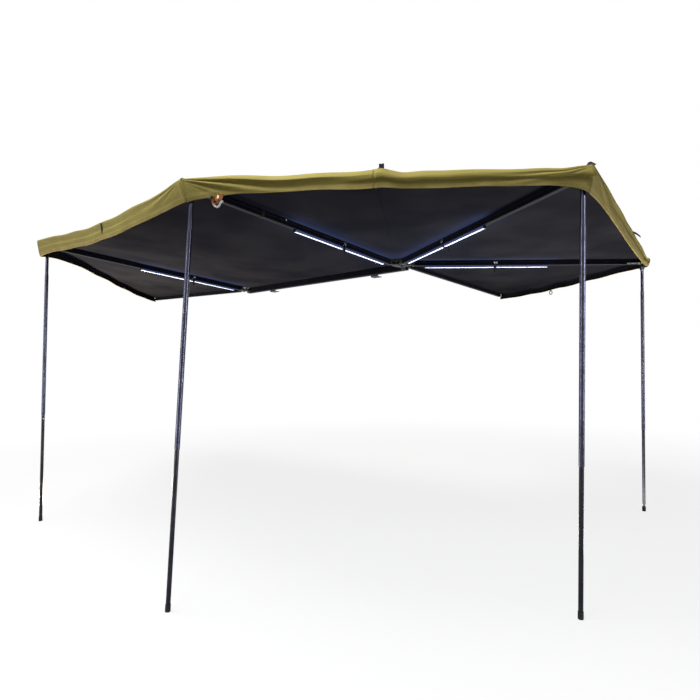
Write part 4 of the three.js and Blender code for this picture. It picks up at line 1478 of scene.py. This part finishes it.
def arm_details():
    """Small fittings seen on single arms: a plate, a tie and a screw."""
    plate_axes = axes_at(arm_4, PLATE_AT, -ARM_W / 2 - PLATE_T / 2, PLATE_UP)
    outline = rect(PLATE_LENGTH, -PLATE_H / 2, PLATE_H / 2)
    plate = block("arm_4_plate", plate_axes, outline, PLATE_T, silver, 0.4)
    trim(plate, "arm_4")
    strap_round("arm_2_tie", arm_2, TIE_AT, with_light=False)
    screw_axes = axes_at(arm_2, SCREW_AT, ARM_W / 2 + SCREW_OUT, SCREW_UP)
    head = round_section(SCREW_R, 12)
    screw = block("arm_2_screw", screw_axes, head, SCREW_T, steel)
    trim(screw, "arm_2")


def square_root(x):
    """Square root that keeps the sign, which makes a circle into a rounded square."""
    return math.copysign(abs(x) ** 0.5, x)


def spar_plug(ridge):
    """Domed silver plug that closes the cap of a spar, past the hem."""
    ends = (ridge.reach - PLUG_SINK, ridge.reach + PLUG_OUT)
    rings = []
    for across, along in PLUG_RINGS:
        ring = []
        for a in full_turn(PLUG_SIDES):
            y = SPAR_W / 2 * across * square_root(math.cos(a))
            z = SPAR_H / 2 * across * square_root(math.sin(a))
            ring.append(ridge.place(lerp(*ends, along), y, z - PLUG_DOWN))
        rings.append(ring)
    plug = stack(f"{ridge.body}_plug", rings, silver)
    tidy_faces(plug)
    trim(plug, ridge.body)


def hub_cover(name, ridges, reach):
    """Moulded cover on top of a hub, where the panels of the canopy meet."""
    centre = sum((ridge.pivot for ridge in ridges), Vector()) / len(ridges)
    top = max(ridge.at(COVER_V).z for ridge in ridges) + CLOTH + COVER_LIFT
    rings = []
    for share, height in COVER_RINGS:
        ring = []
        for a in full_turn(COVER_SIDES):
            away = reach * share * (1 + COVER_LOBES * math.cos(4 * a))
            x = centre.x + away * math.cos(a)
            y = centre.y + away * math.sin(a)
            ring.append((x, y, top + height))
        rings.append(ring)
    trim(stack(name, rings, black_plastic), "root")


hub_cover("hub_cover_front", (arm_1, front_spar), reach=105)
hub_cover("hub_cover_rear", (arm_2, arm_3, arm_4, rear_spar), reach=128)
for number, ridge in ARM_RIDGES.items():
    dress_light(number, ridge)
    strap_light(number, ridge, STRAP_AT[number])
    snap_button(number, ridge, BUTTON_SIDE[number])

sewn = {}  # trims of each half panel
hanging_tab(side_panel, u=0.555, share_end=0.72)
standing_buckle(corner_panel, BUCKLE_U)
stiff_tab(rear, u=0.58)
hem_ring(tail, u=0.585)
hem_clip(corner_panel, u=0.09)
corner_hook(arm_3)
tip_patch(arm_2)
arm_details()
for spar in (front_spar, rear_spar):
    spar_plug(spar)
tape_seam(arm_1, front, side_panel)
tape_seam(arm_2, side_panel, corner_panel)
tape_seam(arm_3, corner_panel, rear)
tape_seam(arm_4, rear, tail)
for panel in (front, side_panel, corner_panel, rear, tail):
    hang_panel(panel)


def add_floor():
    half = 60000
    corners = [(-half, -half), (half, -half), (half, half), (-half, half)]
    points = [(x, y, GROUND_Z - FIT) for x, y in corners]
    floor = make_piece("floor", points, [(0, 1, 2, 3)], [pale_floor()])


add_floor()
